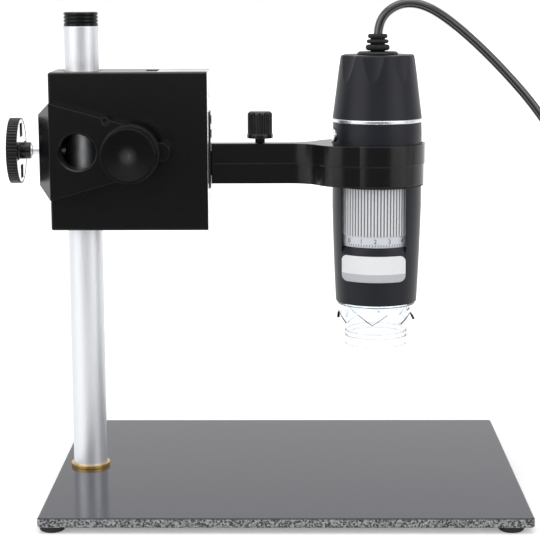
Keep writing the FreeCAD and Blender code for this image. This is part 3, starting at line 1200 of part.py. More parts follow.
def lens(middle, radius):
    """Disc whose two faces are domed by a quarter of its thickness."""
    bulge = LENS_THICKNESS / 4
    curve = (radius ** 2 + bulge ** 2) / (2 * bulge)
    disc = rod(radius, SCOPE + UP * (middle - LENS_THICKNESS / 2), UP, LENS_THICKNESS)
    for side in (-1, 1):
        crown = middle + side * LENS_THICKNESS / 2
        disc = disc.common(Part.makeSphere(curve, SCOPE + UP * (crown - side * curve)))
    return disc


def make_lenses():
    middle = SCOPE_BOTTOM + LENS_UP
    radius = LENS_BARREL_RADIUS - LENS_BARREL_WALL
    reach = LENS_BARREL_HEIGHT / 2 - LENS_THICKNESS
    return [lens(middle - reach, radius), lens(middle + reach, radius)]


def make_sensor_board():
    return rod(INNER_RADIUS - LOOSE_GAP, SCOPE + UP * FLANGE_TOP, UP, SENSOR_BOARD_THICKNESS)


def make_image_sensor():
    half = SENSOR_SIZE / 2
    return box(SCOPE_RIGHT - half, SCOPE_RIGHT + half, -half, half, FLANGE_TOP - SENSOR_HEIGHT, FLANGE_TOP)


def make_board_chips():
    """Camera chip and two smaller chips on top of the sensor board."""
    z0 = SENSOR_BOARD_TOP
    z1 = z0 + CHIP_HEIGHT
    half = CHIP_SIZE / 2
    small = CHIP_SIZE / 3
    chips = [box(SCOPE_RIGHT - half, SCOPE_RIGHT + half, -half, half, z0, z1)]
    for y in (-CHIP_SIZE, CHIP_SIZE):
        chips.append(box(SCOPE_RIGHT - small, SCOPE_RIGHT + small, y - small / 2, y + small / 2, z0, z1))
    return chips


# Snapshot button and its switch, built along +X and turned to their place

def at_button(shape):
    centre, _ = button_frame()
    shape.rotate(centre, UP, BUTTON_AZIMUTH)
    return shape


def button_flange_left():
    return -(SHELL_GRIP_RADIUS - SHELL_WALL - BUTTON_RADIUS ** 2 / SHELL_GRIP_RADIUS) + BUTTON_FLANGE_GAP


def make_snapshot_button():
    centre, _ = button_frame()
    face = -SHELL_GRIP_RADIUS - BUTTON_PROUD
    flange_left = button_flange_left()
    cap = rod(BUTTON_RADIUS, centre + RIGHT * face, RIGHT, flange_left - face + BUTTON_FLANGE_THICKNESS)
    rim = [e for e in cap.Edges if e.BoundBox.XMax < centre.x + face + 0.01]
    cap = cap.makeFillet(BUTTON_PROUD / 2, rim)
    flange = rod(BUTTON_RADIUS + BUTTON_FLANGE_WIDTH, centre + RIGHT * flange_left, RIGHT,
                 BUTTON_FLANGE_THICKNESS)
    return at_button(joined([cap, flange]))


def switch_left():
    return button_flange_left() + BUTTON_FLANGE_THICKNESS + BUTTON_TRAVEL + SWITCH_GAP


def make_button_switch():
    centre, _ = button_frame()
    left = centre.x + switch_left()
    half = SWITCH_SIZE / 2
    return at_button(box(left, left + SWITCH_DEPTH, -half, half, centre.z - half, centre.z + half))


def make_switch_board():
    """Small upright board that stands on the sensor board and carries the switch."""
    centre, _ = button_frame()
    left = centre.x + switch_left() + SWITCH_DEPTH
    half = SWITCH_BOARD_WIDTH / 2
    top = centre.z + half
    return at_button(box(left, left + SWITCH_BOARD_THICKNESS, -half, half, SENSOR_BOARD_TOP, top))


# Cable

def bent_tube(points, radius):
    """Round tube along straight runs that are joined by tangent arcs."""
    edges = []
    last = points[0]
    for i in range(1, len(points) - 1):
        before = points[i - 1] - points[i]
        after = points[i + 1] - points[i]
        turn = math.pi - before.getAngle(after)
        bend = BEND_SHARE * min(before.Length, after.Length) / math.tan(turn / 2)
        print("bend %d: radius %.1f mm, turn %.0f degrees" % (i, bend, math.degrees(turn)))
        leg = BEND_SHARE * min(before.Length, after.Length)
        before.normalize()
        after.normalize()
        start = points[i] + before * leg
        end = points[i] + after * leg
        halfway = before + after
        halfway.normalize()
        crown = points[i] + halfway * (bend / math.cos(turn / 2) - bend)
        edges.append(Part.LineSegment(last, start).toShape())
        edges.append(Part.Arc(start, crown, end).toShape())
        last = end
    edges.append(Part.LineSegment(last, points[-1]).toShape())
    path = Part.Wire(edges)
    solid = swept(path, points[0], points[1] - points[0], radius)
    section = math.pi * radius ** 2
    print("cord stretch: length %.1f mm, volume %.1f, section times length %.1f"
          % (path.Length, solid.Volume, section * path.Length))
    return solid


def swept(path, start, direction, radius):
    circle = Part.makeCircle(radius, start, direction)
    return path.makePipeShell([Part.Wire([circle])], True, False)


def cable_points():
    """Route from inside the strain relief to the coil, fitted between those two."""
    coil_start = COIL_CENTRE_X - COIL_OUTER_RADIUS
    run = (coil_start - SCOPE_RIGHT) / ROUTE_RUN
    rise = (RELIEF_TOP - COIL_HIGH) / ROUTE_RISE
    points = [SCOPE + UP * (RELIEF_TOP - RELIEF_BORE_DEPTH)]
    for x, y, z in CABLE_ROUTE:
        points.append(Vector(SCOPE_RIGHT + x * run, y, COIL_HIGH + z * rise))
    points.append(Vector(coil_start, -CABLE_DIAMETER, COIL_HIGH))
    return points


def coil_stations():
    """Ends of the coil's half turns: side (-1 left, 1 right), distance from the centre, height.

    Each flat half turn changes the distance by half a pitch, inwards and outwards in turn.
    Between layers one tilted half turn keeps the distance and drops by one pitch.
    """
    side = -1
    distance = COIL_OUTER_RADIUS
    height = COIL_HIGH
    stations = [(side, distance, height)]
    for layer in range(COIL_LAYERS):
        step = -COIL_PITCH / 2 if layer % 2 == 0 else COIL_PITCH / 2
        for _ in range(COIL_HALF_TURNS):
            side = -side
            distance += step
            stations.append((side, distance, height))
        if layer < COIL_LAYERS - 1:
            side = -side
            height -= COIL_PITCH
            stations.append((side, distance, height))
    return stations


def coil_arcs():
    """Start, crown and end of each half turn; the first swings to the back, the next to the front."""
    stations = [Vector(COIL_CENTRE_X + side * distance, 0, height)
                for side, distance, height in coil_stations()]
    arcs = []
    for i in range(len(stations) - 1):
        start = stations[i]
        end = stations[i + 1]
        swing = BACK if i % 2 == 0 else -BACK
        crown = (start + end) / 2 + swing * ((end - start).Length / 2)
        arcs.append((start, crown, end))
    return arcs


def coil_least_gap(arcs):
    """Least gap between turns, measured on points a few degrees apart."""
    samples = 24
    points = []
    for start, crown, end in arcs:
        middle = (start + end) / 2
        along = start - middle
        across = crown - middle
        for k in range(samples):
            turn = math.pi * k / samples
            points.append(middle + along * math.cos(turn) + across * math.sin(turn))
    least = COIL_OUTER_RADIUS
    for i in range(len(points)):
        for j in range(i + samples, len(points)):
            least = min(least, (points[i] - points[j]).Length)
    return least - CABLE_DIAMETER


def make_cable_coil():
    arcs = coil_arcs()
    straight = BACK * CABLE_DIAMETER
    start = arcs[0][0] - straight
    end = arcs[-1][2] - straight
    edges = [Part.LineSegment(start, arcs[0][0]).toShape()]
    edges += [Part.Arc(*arc).toShape() for arc in arcs]
    edges.append(Part.LineSegment(arcs[-1][2], end).toShape())
    path = Part.Wire(edges)
    print("coil: %.1f turns, length %.1f mm, least gap %.2f mm"
          % (len(arcs) / 2, path.Length, coil_least_gap(arcs)))
    return swept(path, start, BACK, CABLE_RADIUS)


def lead_points():
    start = -CABLE_DIAMETER
    step = PLUG_LEAD / 10
    return [Vector(COIL_END_X, start, COIL_LOW), Vector(COIL_END_X, start - 3 * step, COIL_LOW),
            Vector(COIL_END_X, PLUG_START + 3 * step, PLUG_AXIS), Vector(COIL_END_X, PLUG_START, PLUG_AXIS)]


def make_cable_tie():
    """Flat band round all turns at the back of the coil; the coil rests on it."""
    inner_edge = COIL_INNER_RADIUS - CABLE_RADIUS
    sag = inner_edge - math.sqrt(inner_edge ** 2 - (TIE_WIDTH / 2) ** 2)
    near = inner_edge - sag - TIE_GAP
    far = COIL_OUTER_RADIUS + CABLE_RADIUS + TIE_GAP
    low = COIL_LOW - CABLE_RADIUS - TIE_GAP
    high = COIL_HIGH + CABLE_RADIUS + TIE_GAP
    left = COIL_CENTRE_X - TIE_WIDTH / 2
    right = COIL_CENTRE_X + TIE_WIDTH / 2
    t = TIE_THICKNESS
    band = box(left, right, near - t, far + t, low - t, high + t)
    corners = [e for e in band.Edges if e.BoundBox.XLength > TIE_WIDTH / 2]
    band = band.makeFillet(TIE_ROUNDING, corners)
    return band.cut(box(left, right, near, far, low, high))


def make_plug_body():
    half = PLUG_WIDTH / 2
    end = PLUG_START - PLUG_LENGTH
    body = box(COIL_END_X - half, COIL_END_X + half, end, PLUG_START, TABLE, TABLE + PLUG_HEIGHT)
    long_edges = [e for e in body.Edges if e.BoundBox.YLength > PLUG_LENGTH / 2]
    body = body.makeFillet(PLUG_ROUNDING, long_edges)
    width = PLUG_SHELL_WIDTH / 2
    height = PLUG_SHELL_HEIGHT / 2
    return body.cut(box(COIL_END_X - width, COIL_END_X + width, end, end + PLUG_SHELL_SEAT,
                        PLUG_AXIS - height, PLUG_AXIS + height))


def plug_shell_ends():
    seat = PLUG_START - PLUG_LENGTH + PLUG_SHELL_SEAT
    return seat - PLUG_SHELL_SEAT - PLUG_SHELL_LENGTH, seat


def make_plug_shell():
    mouth, seat = plug_shell_ends()
    width = PLUG_SHELL_WIDTH / 2
    height = PLUG_SHELL_HEIGHT / 2
    w = PLUG_SHELL_WALL
    shell = box(COIL_END_X - width, COIL_END_X + width, mouth, seat, PLUG_AXIS - height, PLUG_AXIS + height)
    return shell.cut(box(COIL_END_X - width + w, COIL_END_X + width - w, mouth, seat,
                         PLUG_AXIS - height + w, PLUG_AXIS + height - w))


def make_plug_tongue():
    mouth, seat = plug_shell_ends()
    width = PLUG_SHELL_WIDTH / 2 - PLUG_SHELL_WALL
    top = PLUG_AXIS + PLUG_SHELL_HEIGHT / 2 - PLUG_SHELL_WALL
    return box(COIL_END_X - width, COIL_END_X + width, mouth + PLUG_TONGUE_SET_BACK, seat,
               top - PLUG_TONGUE_THICKNESS, top)


def main():
    os.makedirs("parts", exist_ok=True)
    write("base_plate", make_base_plate())
    write("feet", make_feet())
    write("pole", make_pole())
    write("pole_ring", make_pole_ring())
    write("pole_cap", make_pole_cap())
    write("pole_screw", make_pole_screw())
    write("pole_bushes", make_pole_bushes())
    write("block_housing", make_block_housing())
    write("shaft_bushes", make_shaft_bushes())
    write("bracket", make_bracket())
    write("bracket_screws", make_bracket_screws())
    write("clamp_pad", make_clamp_pad())
    write("clamp_screw", make_clamp_screw())
    write("clamp_hub", make_clamp_hub())
    write("clamp_wheel", make_clamp_wheel())
    write("clamp_wheel_face", make_clamp_wheel_face())
    write("pinion_shaft", make_pinion_shaft())
    write("pinion_gear", make_pinion_gear())
    write("front_knob", make_knob(BRACKET_FRONT - KNOB_GAP, -1))
    write("rear_knob", make_knob(REAR_KNOB_START, 1))
    write("knob_set_screws", [knob_screw(BRACKET_FRONT - KNOB_GAP, -1), knob_screw(REAR_KNOB_START, 1)])
    write("focus_slide", make_focus_slide())
    write("rack", make_rack())
    write("rack_screws", make_rack_screws())
    write("arm_mount", make_arm_mount())
    write("mount_rivets", mount_rivet_shapes())
    write("arm", make_arm())
    write("ring_liner", make_ring_liner())
    write("arm_lock_pad", make_arm_lock_pad())
    write("arm_lock_screw", make_arm_lock_screw())
    write("arm_lock_knob", make_arm_lock_knob())
    front_shell, back_shell = make_shells()
    write_turned("front_shell", front_shell)
    write_turned("back_shell", back_shell)
    write_turned("shell_screws", shell_screw_shapes())
    write("trim_ring", make_trim_ring())
    write_turned("upper_cap", make_upper_cap())
    write("cap_collar", make_cap_collar())
    write("strain_relief", make_strain_relief())
    write_turned("label_plate", make_label_plate())
    write_turned("hood", make_hood())
    write_turned("led_board", make_led_board())
    write_turned("leds", make_leds())
    write_turned("chassis", make_chassis())
    write_turned("focus_wheel", make_focus_wheel())
    write_turned("scale_ring", make_scale_ring())
    write_turned("lens_carriage", make_lens_carriage())
    write_turned("lenses", make_lenses())
    write_turned("sensor_board", make_sensor_board())
    write_turned("image_sensor", make_image_sensor())
    write_turned("board_chips", make_board_chips())
    write_turned("snapshot_button", make_snapshot_button())
    write_turned("button_switch", make_button_switch())
    write_turned("switch_board", make_switch_board())
    write("cable", bent_tube(cable_points(), CABLE_RADIUS))
    write("cable_coil", make_cable_coil())
    write("cable_lead", bent_tube(lead_points(), CABLE_RADIUS))
    write("cable_tie", make_cable_tie())
    write("plug_body", make_plug_body())
    write("plug_shell", make_plug_shell())
    write("plug_tongue", make_plug_tongue())


main()
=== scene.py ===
# %% [markdown]
# # A hand-held microscope in its rack-and-pinion stand
# The real object is a small tube-shaped camera with a focusing wheel in its window. An arm
# with a ring holds it over a dark plate, and a block with a knob moves that arm up and down.
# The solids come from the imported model, already in their places, so this lesson adds what
# they lack: the flexible cable, the finer moulded shapes, the printed scale and the finishes.

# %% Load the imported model
import json
import math

import bmesh
import bpy
import numpy as np
from mathutils import Matrix, Vector


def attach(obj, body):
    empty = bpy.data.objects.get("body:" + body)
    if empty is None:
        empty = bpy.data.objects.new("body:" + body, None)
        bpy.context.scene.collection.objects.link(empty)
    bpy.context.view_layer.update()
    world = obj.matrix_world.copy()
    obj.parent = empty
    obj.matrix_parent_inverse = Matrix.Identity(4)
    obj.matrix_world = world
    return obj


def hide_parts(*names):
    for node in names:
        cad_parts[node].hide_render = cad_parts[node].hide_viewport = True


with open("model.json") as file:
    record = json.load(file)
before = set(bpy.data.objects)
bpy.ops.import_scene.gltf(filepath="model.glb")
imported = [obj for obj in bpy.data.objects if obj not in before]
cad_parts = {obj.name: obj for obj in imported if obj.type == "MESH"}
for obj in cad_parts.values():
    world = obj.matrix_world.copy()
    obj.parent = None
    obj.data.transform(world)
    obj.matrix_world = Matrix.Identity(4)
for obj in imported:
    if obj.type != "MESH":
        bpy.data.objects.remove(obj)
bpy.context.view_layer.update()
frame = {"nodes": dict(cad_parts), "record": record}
scene = bpy.context.scene
MM = 0.001

# %% [markdown]
# ## The camera
# A product photographer stands well back with a long lens, so that the stand keeps its
# proportions. A camera could be tuned by eye, but here its place and turn were worked out
# from sizes of the stand that are known, and they are written down as three angles. The view
# looks about ten degrees down, which shows the plate's glossy top as a narrow band.

# %% Camera
CAMERA_PLACE = Vector((2.64, -618.80, 182.16)) * MM
LENS_LENGTH = 111.3
PITCH, YAW, ROLL = (math.radians(degrees) for degrees in (9.77, -0.79, -0.24))

forward = Vector((math.sin(YAW) * math.cos(PITCH), math.cos(YAW) * math.cos(PITCH), -math.sin(PITCH)))
level_right = Vector((math.cos(YAW), -math.sin(YAW), 0.0))
level_up = level_right.cross(forward)
camera_right = level_right * math.cos(ROLL) + level_up * math.sin(ROLL)
camera_up = level_up * math.cos(ROLL) - level_right * math.sin(ROLL)

camera = bpy.data.objects.new("camera", bpy.data.cameras.new("camera"))
camera.data.lens = LENS_LENGTH
camera.data.clip_end = 20.0
turned = Matrix((camera_right, camera_up, -forward)).transposed().to_4x4()
camera.matrix_world = Matrix.Translation(CAMERA_PLACE) @ turned
scene.collection.objects.link(camera)
scene.camera = camera
print("camera looks along", [round(x, 3) for x in forward])

# %% [markdown]
# ## The cable
# A USB lead is a stiff, springy vinyl cable. It leaves the strain relief straight up, bends
# over under its own weight and runs off to the right, where the photograph ends. The length
# that isn't seen is wound into a neat coil on the table, held by a tie, with the plug in front.
# A chain of cylinders would show its joints. One smooth spline with a round section is what a
# cable is: its points are the places that the cable bends towards, and it rounds them by itself.

# %% Cable route
CABLE_DIAMETER = 3.3 * MM
CABLE_ROUTE = [
    (0.0340, 0.0, 0.16005),
    (0.0340, 0.0, 0.1662),
    (0.0371, 0.0, 0.1716),
    (0.0429, 0.0, 0.1747),
    (0.0498, 0.0, 0.1743),
    (0.0575, 0.0, 0.1704),
    (0.0680, 0.0, 0.1620),
    (0.0796, 0.0, 0.1508),
    (0.0924, 0.0, 0.1366),
    (0.1034, -0.0040, 0.1196),
    (0.1096, -0.0120, 0.0986),
    (0.1114, -0.0205, 0.0754),
    (0.1104, -0.0260, 0.0520),
    (0.1088, -0.0265, 0.0330),
    (0.1080, -0.0210, 0.0180),
    (0.1077, -0.0115, 0.00995),
    (0.1077, -0.0033, 0.00995),
]
PLUG_LEAD = [
    (0.1523, -0.0033, -0.00295),
    (0.1523, -0.0123, -0.00295),
    (0.1523, -0.0243, -0.0017),
    (0.1523, -0.0333, -0.0017),
]
print("route points", len(CABLE_ROUTE), "and", len(PLUG_LEAD))

# %% Coil of the put-away length
COIL_CENTRE = 130.0 * MM
COIL_OUTER = 22.3 * MM
COIL_PITCH = 4.3 * MM
COIL_TOP = 9.95 * MM
HALF_TURNS_PER_LAYER = 4
LAYERS = 4
STEPS_PER_HALF_TURN = 12
# A spline of this kind runs inside its points, and this factor puts the turns back on their radius.
SPLINE_PULL = 1.0086


def coil_stations():
    """Ends of the half turns on the line y = 0, as x and height.

    A layer has four flat half turns, and a sloping one leads down to the next layer.
    """
    side, distance, height = -1, COIL_OUTER, COIL_TOP
    stations = [(COIL_CENTRE - COIL_OUTER, height)]
    for layer in range(LAYERS):
        step = COIL_PITCH / 2 * (-1 if layer % 2 == 0 else 1)
        for half_turn in range(HALF_TURNS_PER_LAYER + 1):
            if half_turn == HALF_TURNS_PER_LAYER and layer == LAYERS - 1:
                break
            side = -side
            if half_turn < HALF_TURNS_PER_LAYER:
                distance += step
            else:
                height -= COIL_PITCH
            stations.append((COIL_CENTRE + side * distance, height))
    return np.array(stations)


def coil_points():
    """Points on half circles between neighbouring stations.

    x and z run along middle + arm cos(angle), and y bulges by arm sin(angle) to the back and front in turn.
    """
    stations = coil_stations()
    start, end = stations[:-1], stations[1:]
    middle, arm = (start + end) / 2, (start - end) / 2 * SPLINE_PULL
    angle = np.linspace(0, math.pi, STEPS_PER_HALF_TURN + 1)[1:]
    flat = middle[:, None, :] + arm[:, None, :] * np.cos(angle)[None, :, None]
    side = np.where(np.arange(len(start)) % 2 == 0, 1.0, -1.0)[:, None]
    bulge = side * np.abs(arm[:, :1]) * np.sin(angle)
    return np.stack([flat[..., 0], bulge, flat[..., 1]], axis=-1).reshape(-1, 3)


coil = coil_points()
print("coil points", len(coil), "x from", coil[:, 0].min().round(4), "to", coil[:, 0].max().round(4))

# %% Cable as one spline
cable_points = np.concatenate([np.array(CABLE_ROUTE), coil, np.array(PLUG_LEAD)])
cable_curve = bpy.data.curves.new("usb_cable", "CURVE")
cable_curve.dimensions = "3D"
cable_spline = cable_curve.splines.new("NURBS")
cable_spline.points.add(len(cable_points) - 1)
cable_spline.points.foreach_set("co", np.c_[cable_points, np.ones(len(cable_points))].ravel())
# Each point carries the cable's radius in metres, and the bevel only says that the section is round.
cable_spline.points.foreach_set("radius", np.full(len(cable_points), CABLE_DIAMETER / 2))
cable_spline.order_u = 3
cable_spline.use_endpoint_u = True
cable_spline.resolution_u = 6
cable_curve.bevel_depth = 1.0
cable_curve.bevel_resolution = 5
cable_curve.use_fill_caps = True
usb_cable = bpy.data.objects.new("usb_cable", cable_curve)
scene.collection.objects.link(usb_cable)
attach(usb_cable, "microscope")
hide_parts("cable", "cable_coil", "cable_lead")
print("cable points", len(cable_points))

# %% [markdown]
# ## How a finish is made
# A finish is more than a colour: light also shows the grain that a tool, a mould or a wheel
# leaves, and how evenly the surface shines. Each one below is a small tree of nodes. Slow
# patches vary the colour a little, and a fine grain varies the roughness and stands proud by a
# few microns. No moulded or painted edge is perfectly sharp either. Bevelling every solid would
# cost many faces, so the edges are rounded in the shading alone. The patterns are set by real
# sizes in millimetres on Object coordinates, so that they stay the same size on every piece.


# %% Colour and node helpers
def linear(code):
    """sRGB hex to linear colour: ((c + 0.055) / 1.055) to the power 2.4, or c / 12.92 near black."""
    channels = [int(code[i:i + 2], 16) / 255 for i in (1, 3, 5)]
    return tuple(c / 12.92 if c <= 0.04045 else ((c + 0.055) / 1.055) ** 2.4 for c in channels) + (1.0,)


def add(tree, kind, inputs, **settings):
    """Adds one node. Settings are its own switches, and an input is a value or another node's output."""
    node = tree.nodes.new(kind)
    for name, value in settings.items():
        setattr(node, name, value)
    for name, value in inputs.items():
        if isinstance(value, bpy.types.NodeSocket):
            tree.links.new(value, node.inputs[name])
        else:
            node.inputs[name].default_value = value
    return node


def finish(name, colour, other, roughness, grain_mm, depth_mm, stretch=(1, 1, 1), patch_mm=20.0,
           edge_mm=0.3, **sockets):
    """A material whose colour drifts between two in slow patches, with a grain of a real size and depth.

    The grain's noise runs from about 0.3 to 0.7, which is spread over the two roughness values.
    Sharp edges are shaded as if they were rounded to edge_mm, so that they catch a thin line of light.
    """
    made = bpy.data.materials.new(name)
    made.use_nodes = True
    tree = made.node_tree
    shader = tree.nodes["Principled BSDF"]
    place = add(tree, "ShaderNodeTexCoord", {}).outputs["Object"]
    stretched = add(tree, "ShaderNodeMapping", {"Vector": place, "Scale": stretch}).outputs["Vector"]
    patches = add(tree, "ShaderNodeTexNoise", {
        "Vector": place, "Scale": 1 / (patch_mm * MM), "Detail": 3.0}).outputs[0]
    grain = add(tree, "ShaderNodeTexNoise", {
        "Vector": stretched, "Scale": 1 / (grain_mm * MM), "Detail": 2.0}).outputs[0]
    drift = add(tree, "ShaderNodeMix", {
        0: patches, 6: linear(colour), 7: linear(other)}, data_type="RGBA").outputs[2]
    tree.links.new(drift, shader.inputs["Base Color"])
    spread = add(tree, "ShaderNodeMapRange", {
        "Value": grain, "From Min": 0.3, "From Max": 0.7, "To Min": roughness[0], "To Max": roughness[1]})
    tree.links.new(spread.outputs[0], shader.inputs["Roughness"])
    soft_edge = add(tree, "ShaderNodeBevel", {"Radius": edge_mm * MM}, samples=6)
    bump = add(tree, "ShaderNodeBump", {
        "Height": grain, "Distance": depth_mm * MM, "Strength": 1.0, "Normal": soft_edge.outputs[0]})
    tree.links.new(bump.outputs[0], shader.inputs["Normal"])
    for socket, value in sockets.items():
        shader.inputs[socket.replace("_", " ")].default_value = value
    made.diffuse_color = linear(colour)
    return made


print("white is", linear("#ffffff"), "and mid grey", [round(c, 3) for c in linear("#808080")])

# %% [markdown]
# ## Metals
# The pole is drawn aluminium tube with a satin anodised skin: the die leaves faint lines along
# it, so its grain is stretched along Z. The block's housing is machined aluminium, and its
# milled faces scatter light in short strokes. Screws and shafts are turned steel or brass, and
# their bushes are sintered bronze, which is duller and slightly mottled.

# %% Metal finishes
FINISHES = {}
FINISHES["pole_aluminium"] = finish(
    "drawn_aluminium", "#e1e3e6", "#dadce0", (0.38, 0.52), 0.35, 0.004,
    stretch=(1, 1, 0.03), patch_mm=40, Metallic=1.0)
FINISHES["bright_aluminium"] = finish(
    "machined_aluminium", "#e6e7e8", "#d8dadc", (0.26, 0.42), 0.4, 0.004,
    stretch=(1, 0.05, 1), patch_mm=15, Metallic=1.0)
FINISHES["steel"] = finish(
    "turned_steel", "#c9cacc", "#b9bbbe", (0.22, 0.36), 0.2, 0.003, Metallic=1.0)
FINISHES["chrome"] = finish(
    "polished_chrome", "#e2e3e6", "#d9dbdf", (0.22, 0.32), 0.3, 0.001, Metallic=1.0)
FINISHES["brass"] = finish(
    "turned_brass", "#d8b878", "#c6a25e", (0.20, 0.34), 0.25, 0.003, Metallic=1.0)
FINISHES["bronze"] = finish(
    "sintered_bronze", "#a8814f", "#8a6a40", (0.40, 0.55), 0.15, 0.006, patch_mm=3, Metallic=1.0)
FINISHES["silver_plastic"] = finish(
    "plated_plastic", "#d9dadc", "#cfd1d4", (0.16, 0.24), 0.4, 0.002, Metallic=1.0)
print("metals", sorted(FINISHES))

# %% [markdown]
# ## Plastics, paint and rubber
# The arm, knobs and shell are moulded ABS. Its mould was spark eroded, which leaves a soft
# satin grain of about a tenth of a millimetre, drawn here a little coarser so that it shows.
# The block is painted with a smoother satin enamel over the metal. A dark, slightly blue
# colour reads as black once the white surroundings add their reflection.

# %% Plastic finishes
FINISHES["black_plastic"] = finish(
    "satin_abs", "#15161d", "#1b1c24", (0.32, 0.42), 0.30, 0.006, Specular_IOR_Level=0.25)
FINISHES["dark_abs"] = finish(
    "dark_abs", "#09090b", "#0c0c0e", (0.18, 0.26), 0.30, 0.004, edge_mm=0.45, Specular_IOR_Level=0.40)
FINISHES["gloss_black_plastic"] = finish(
    "polished_abs", "#0c0c0e", "#101012", (0.14, 0.22), 0.6, 0.003, Specular_IOR_Level=0.20)
FINISHES["black_paint"] = finish(
    "satin_enamel", "#0b0b0d", "#0e0e10", (0.18, 0.26), 0.5, 0.004, edge_mm=0.4, Specular_IOR_Level=0.35)
FINISHES["foot_rubber"] = finish(
    "black_rubber", "#1a1a1a", "#222221", (0.60, 0.75), 0.25, 0.01, Specular_IOR_Level=0.3)
FINISHES["cable_jacket"] = finish(
    "soft_vinyl", "#0f0f10", "#151516", (0.10, 0.18), 0.8, 0.006, Specular_IOR_Level=1.0)
FINISHES["white_plastic"] = finish(
    "white_abs", "#e4e5e6", "#dcdddf", (0.20, 0.30), 0.4, 0.003)
FINISHES["white_label"] = finish(
    "gloss_film", "#f6f6f7", "#f1f2f3", (0.22, 0.30), 0.5, 0.001)
FINISHES["board_green"] = finish(
    "solder_mask", "#1f5a38", "#184a2e", (0.30, 0.45), 0.4, 0.004, patch_mm=5)
FINISHES["led_white"] = finish(
    "led_resin", "#f3f2e6", "#ecebdc", (0.08, 0.16), 0.5, 0.002)
print("finishes", len(FINISHES))

# %% [markdown]
# ## Clear parts
# The hood is clear moulded acrylic and almost disappears on white: only its edges, where light
# passes the plastic lengthwise, draw thin grey lines. It is solid and transmits nearly all
# light, with the refraction of acrylic, 1.49. The lenses are coated glass.

# %% Clear finishes
FINISHES["clear_plastic"] = finish(
    "clear_acrylic", "#f9fbfd", "#f6f9fc", (0.01, 0.05), 1.2, 0.002,
    IOR=1.49, Transmission_Weight=1.0)
FINISHES["lens_glass"] = finish(
    "coated_glass", "#eef3fb", "#e6edf8", (0.0, 0.02), 2.0, 0.0005,
    IOR=1.52, Transmission_Weight=1.0)

# %% [markdown]
# ## The plate
# The plate is a dark board with a high-gloss laminate on top. Seen almost edge on, the top
# mirrors the white studio, which is why it looks mid grey and why the pole stands in it as a
# blurred reflection. Its sawn edge shows the speckled filling. One material draws both, and
# the surface's own direction tells the top from the sides.

# %% Plate finish
FINISHES["plate_laminate"] = finish(
    "gloss_laminate", "#1a1b2c", "#1e1f31", (0.10, 0.16), 6.0, 0.01, patch_mm=30, IOR=1.46)
plate_tree = FINISHES["plate_laminate"].node_tree
plate_shader = plate_tree.nodes["Principled BSDF"]
plate_place = add(plate_tree, "ShaderNodeTexCoord", {}).outputs["Object"]
plate_normal = add(plate_tree, "ShaderNodeTexCoord", {}).outputs["Normal"]
facing = add(plate_tree, "ShaderNodeSeparateXYZ", {"Vector": plate_normal}).outputs["Z"]
edge = add(plate_tree, "ShaderNodeMath", {0: facing, 1: 0.3}, operation="LESS_THAN").outputs[0]
# Grit of about half a millimetre: pale, mid and dark grains side by side.
grit = add(plate_tree, "ShaderNodeTexVoronoi", {"Vector": plate_place, "Scale": 1 / (0.55 * MM)})
grit_grey = add(plate_tree, "ShaderNodeRGBToBW", {"Color": grit.outputs["Color"]}).outputs[0]
speckle = add(plate_tree, "ShaderNodeValToRGB", {"Fac": grit_grey})
speckle.color_ramp.elements[0].position = 0.30
speckle.color_ramp.elements[0].color = linear("#2c2d2e")
speckle.color_ramp.elements[1].position = 0.75
speckle.color_ramp.elements[1].color = linear("#9c9d9d")
top_colour = plate_shader.inputs["Base Color"].links[0].from_socket
plate_colour = add(plate_tree, "ShaderNodeMix", {
    0: edge, 6: top_colour, 7: speckle.outputs[0]}, data_type="RGBA").outputs[2]
plate_tree.links.new(plate_colour, plate_shader.inputs["Base Color"])
top_roughness = plate_shader.inputs["Roughness"].links[0].from_socket
edge_roughness = add(plate_tree, "ShaderNodeMix", {0: edge, 2: top_roughness, 3: 0.6}, data_type="FLOAT")
plate_tree.links.new(edge_roughness.outputs[0], plate_shader.inputs["Roughness"])
print("plate nodes", len(plate_tree.nodes))

# %% [markdown]
# ## Bare metal on the block
# The block is painted all round, but the end where the slide runs is left as milled aluminium,
# and the slide in it is bare too. The paint and the metal could be two solids. It is simpler
# to keep one solid and let the place on it decide: everything at the right-hand face is metal.

# %% Housing finish
BARE_FACE_X = -28.3 * MM
housing_paint = FINISHES["black_paint"].copy()
housing_paint.name = "enamel_with_bare_end"
housing_tree = housing_paint.node_tree
housing_shader = housing_tree.nodes["Principled BSDF"]
housing_place = add(housing_tree, "ShaderNodeTexCoord", {}).outputs["Object"]
across = add(housing_tree, "ShaderNodeSeparateXYZ", {"Vector": housing_place}).outputs["X"]
bare = add(housing_tree, "ShaderNodeMath", {0: across, 1: BARE_FACE_X}, operation="GREATER_THAN").outputs[0]
paint_colour = housing_shader.inputs["Base Color"].links[0].from_socket
metal_or_paint = add(housing_tree, "ShaderNodeMix", {
    0: bare, 6: paint_colour, 7: linear("#e6e7e8")}, data_type="RGBA").outputs[2]
housing_tree.links.new(metal_or_paint, housing_shader.inputs["Base Color"])
housing_tree.links.new(bare, housing_shader.inputs["Metallic"])
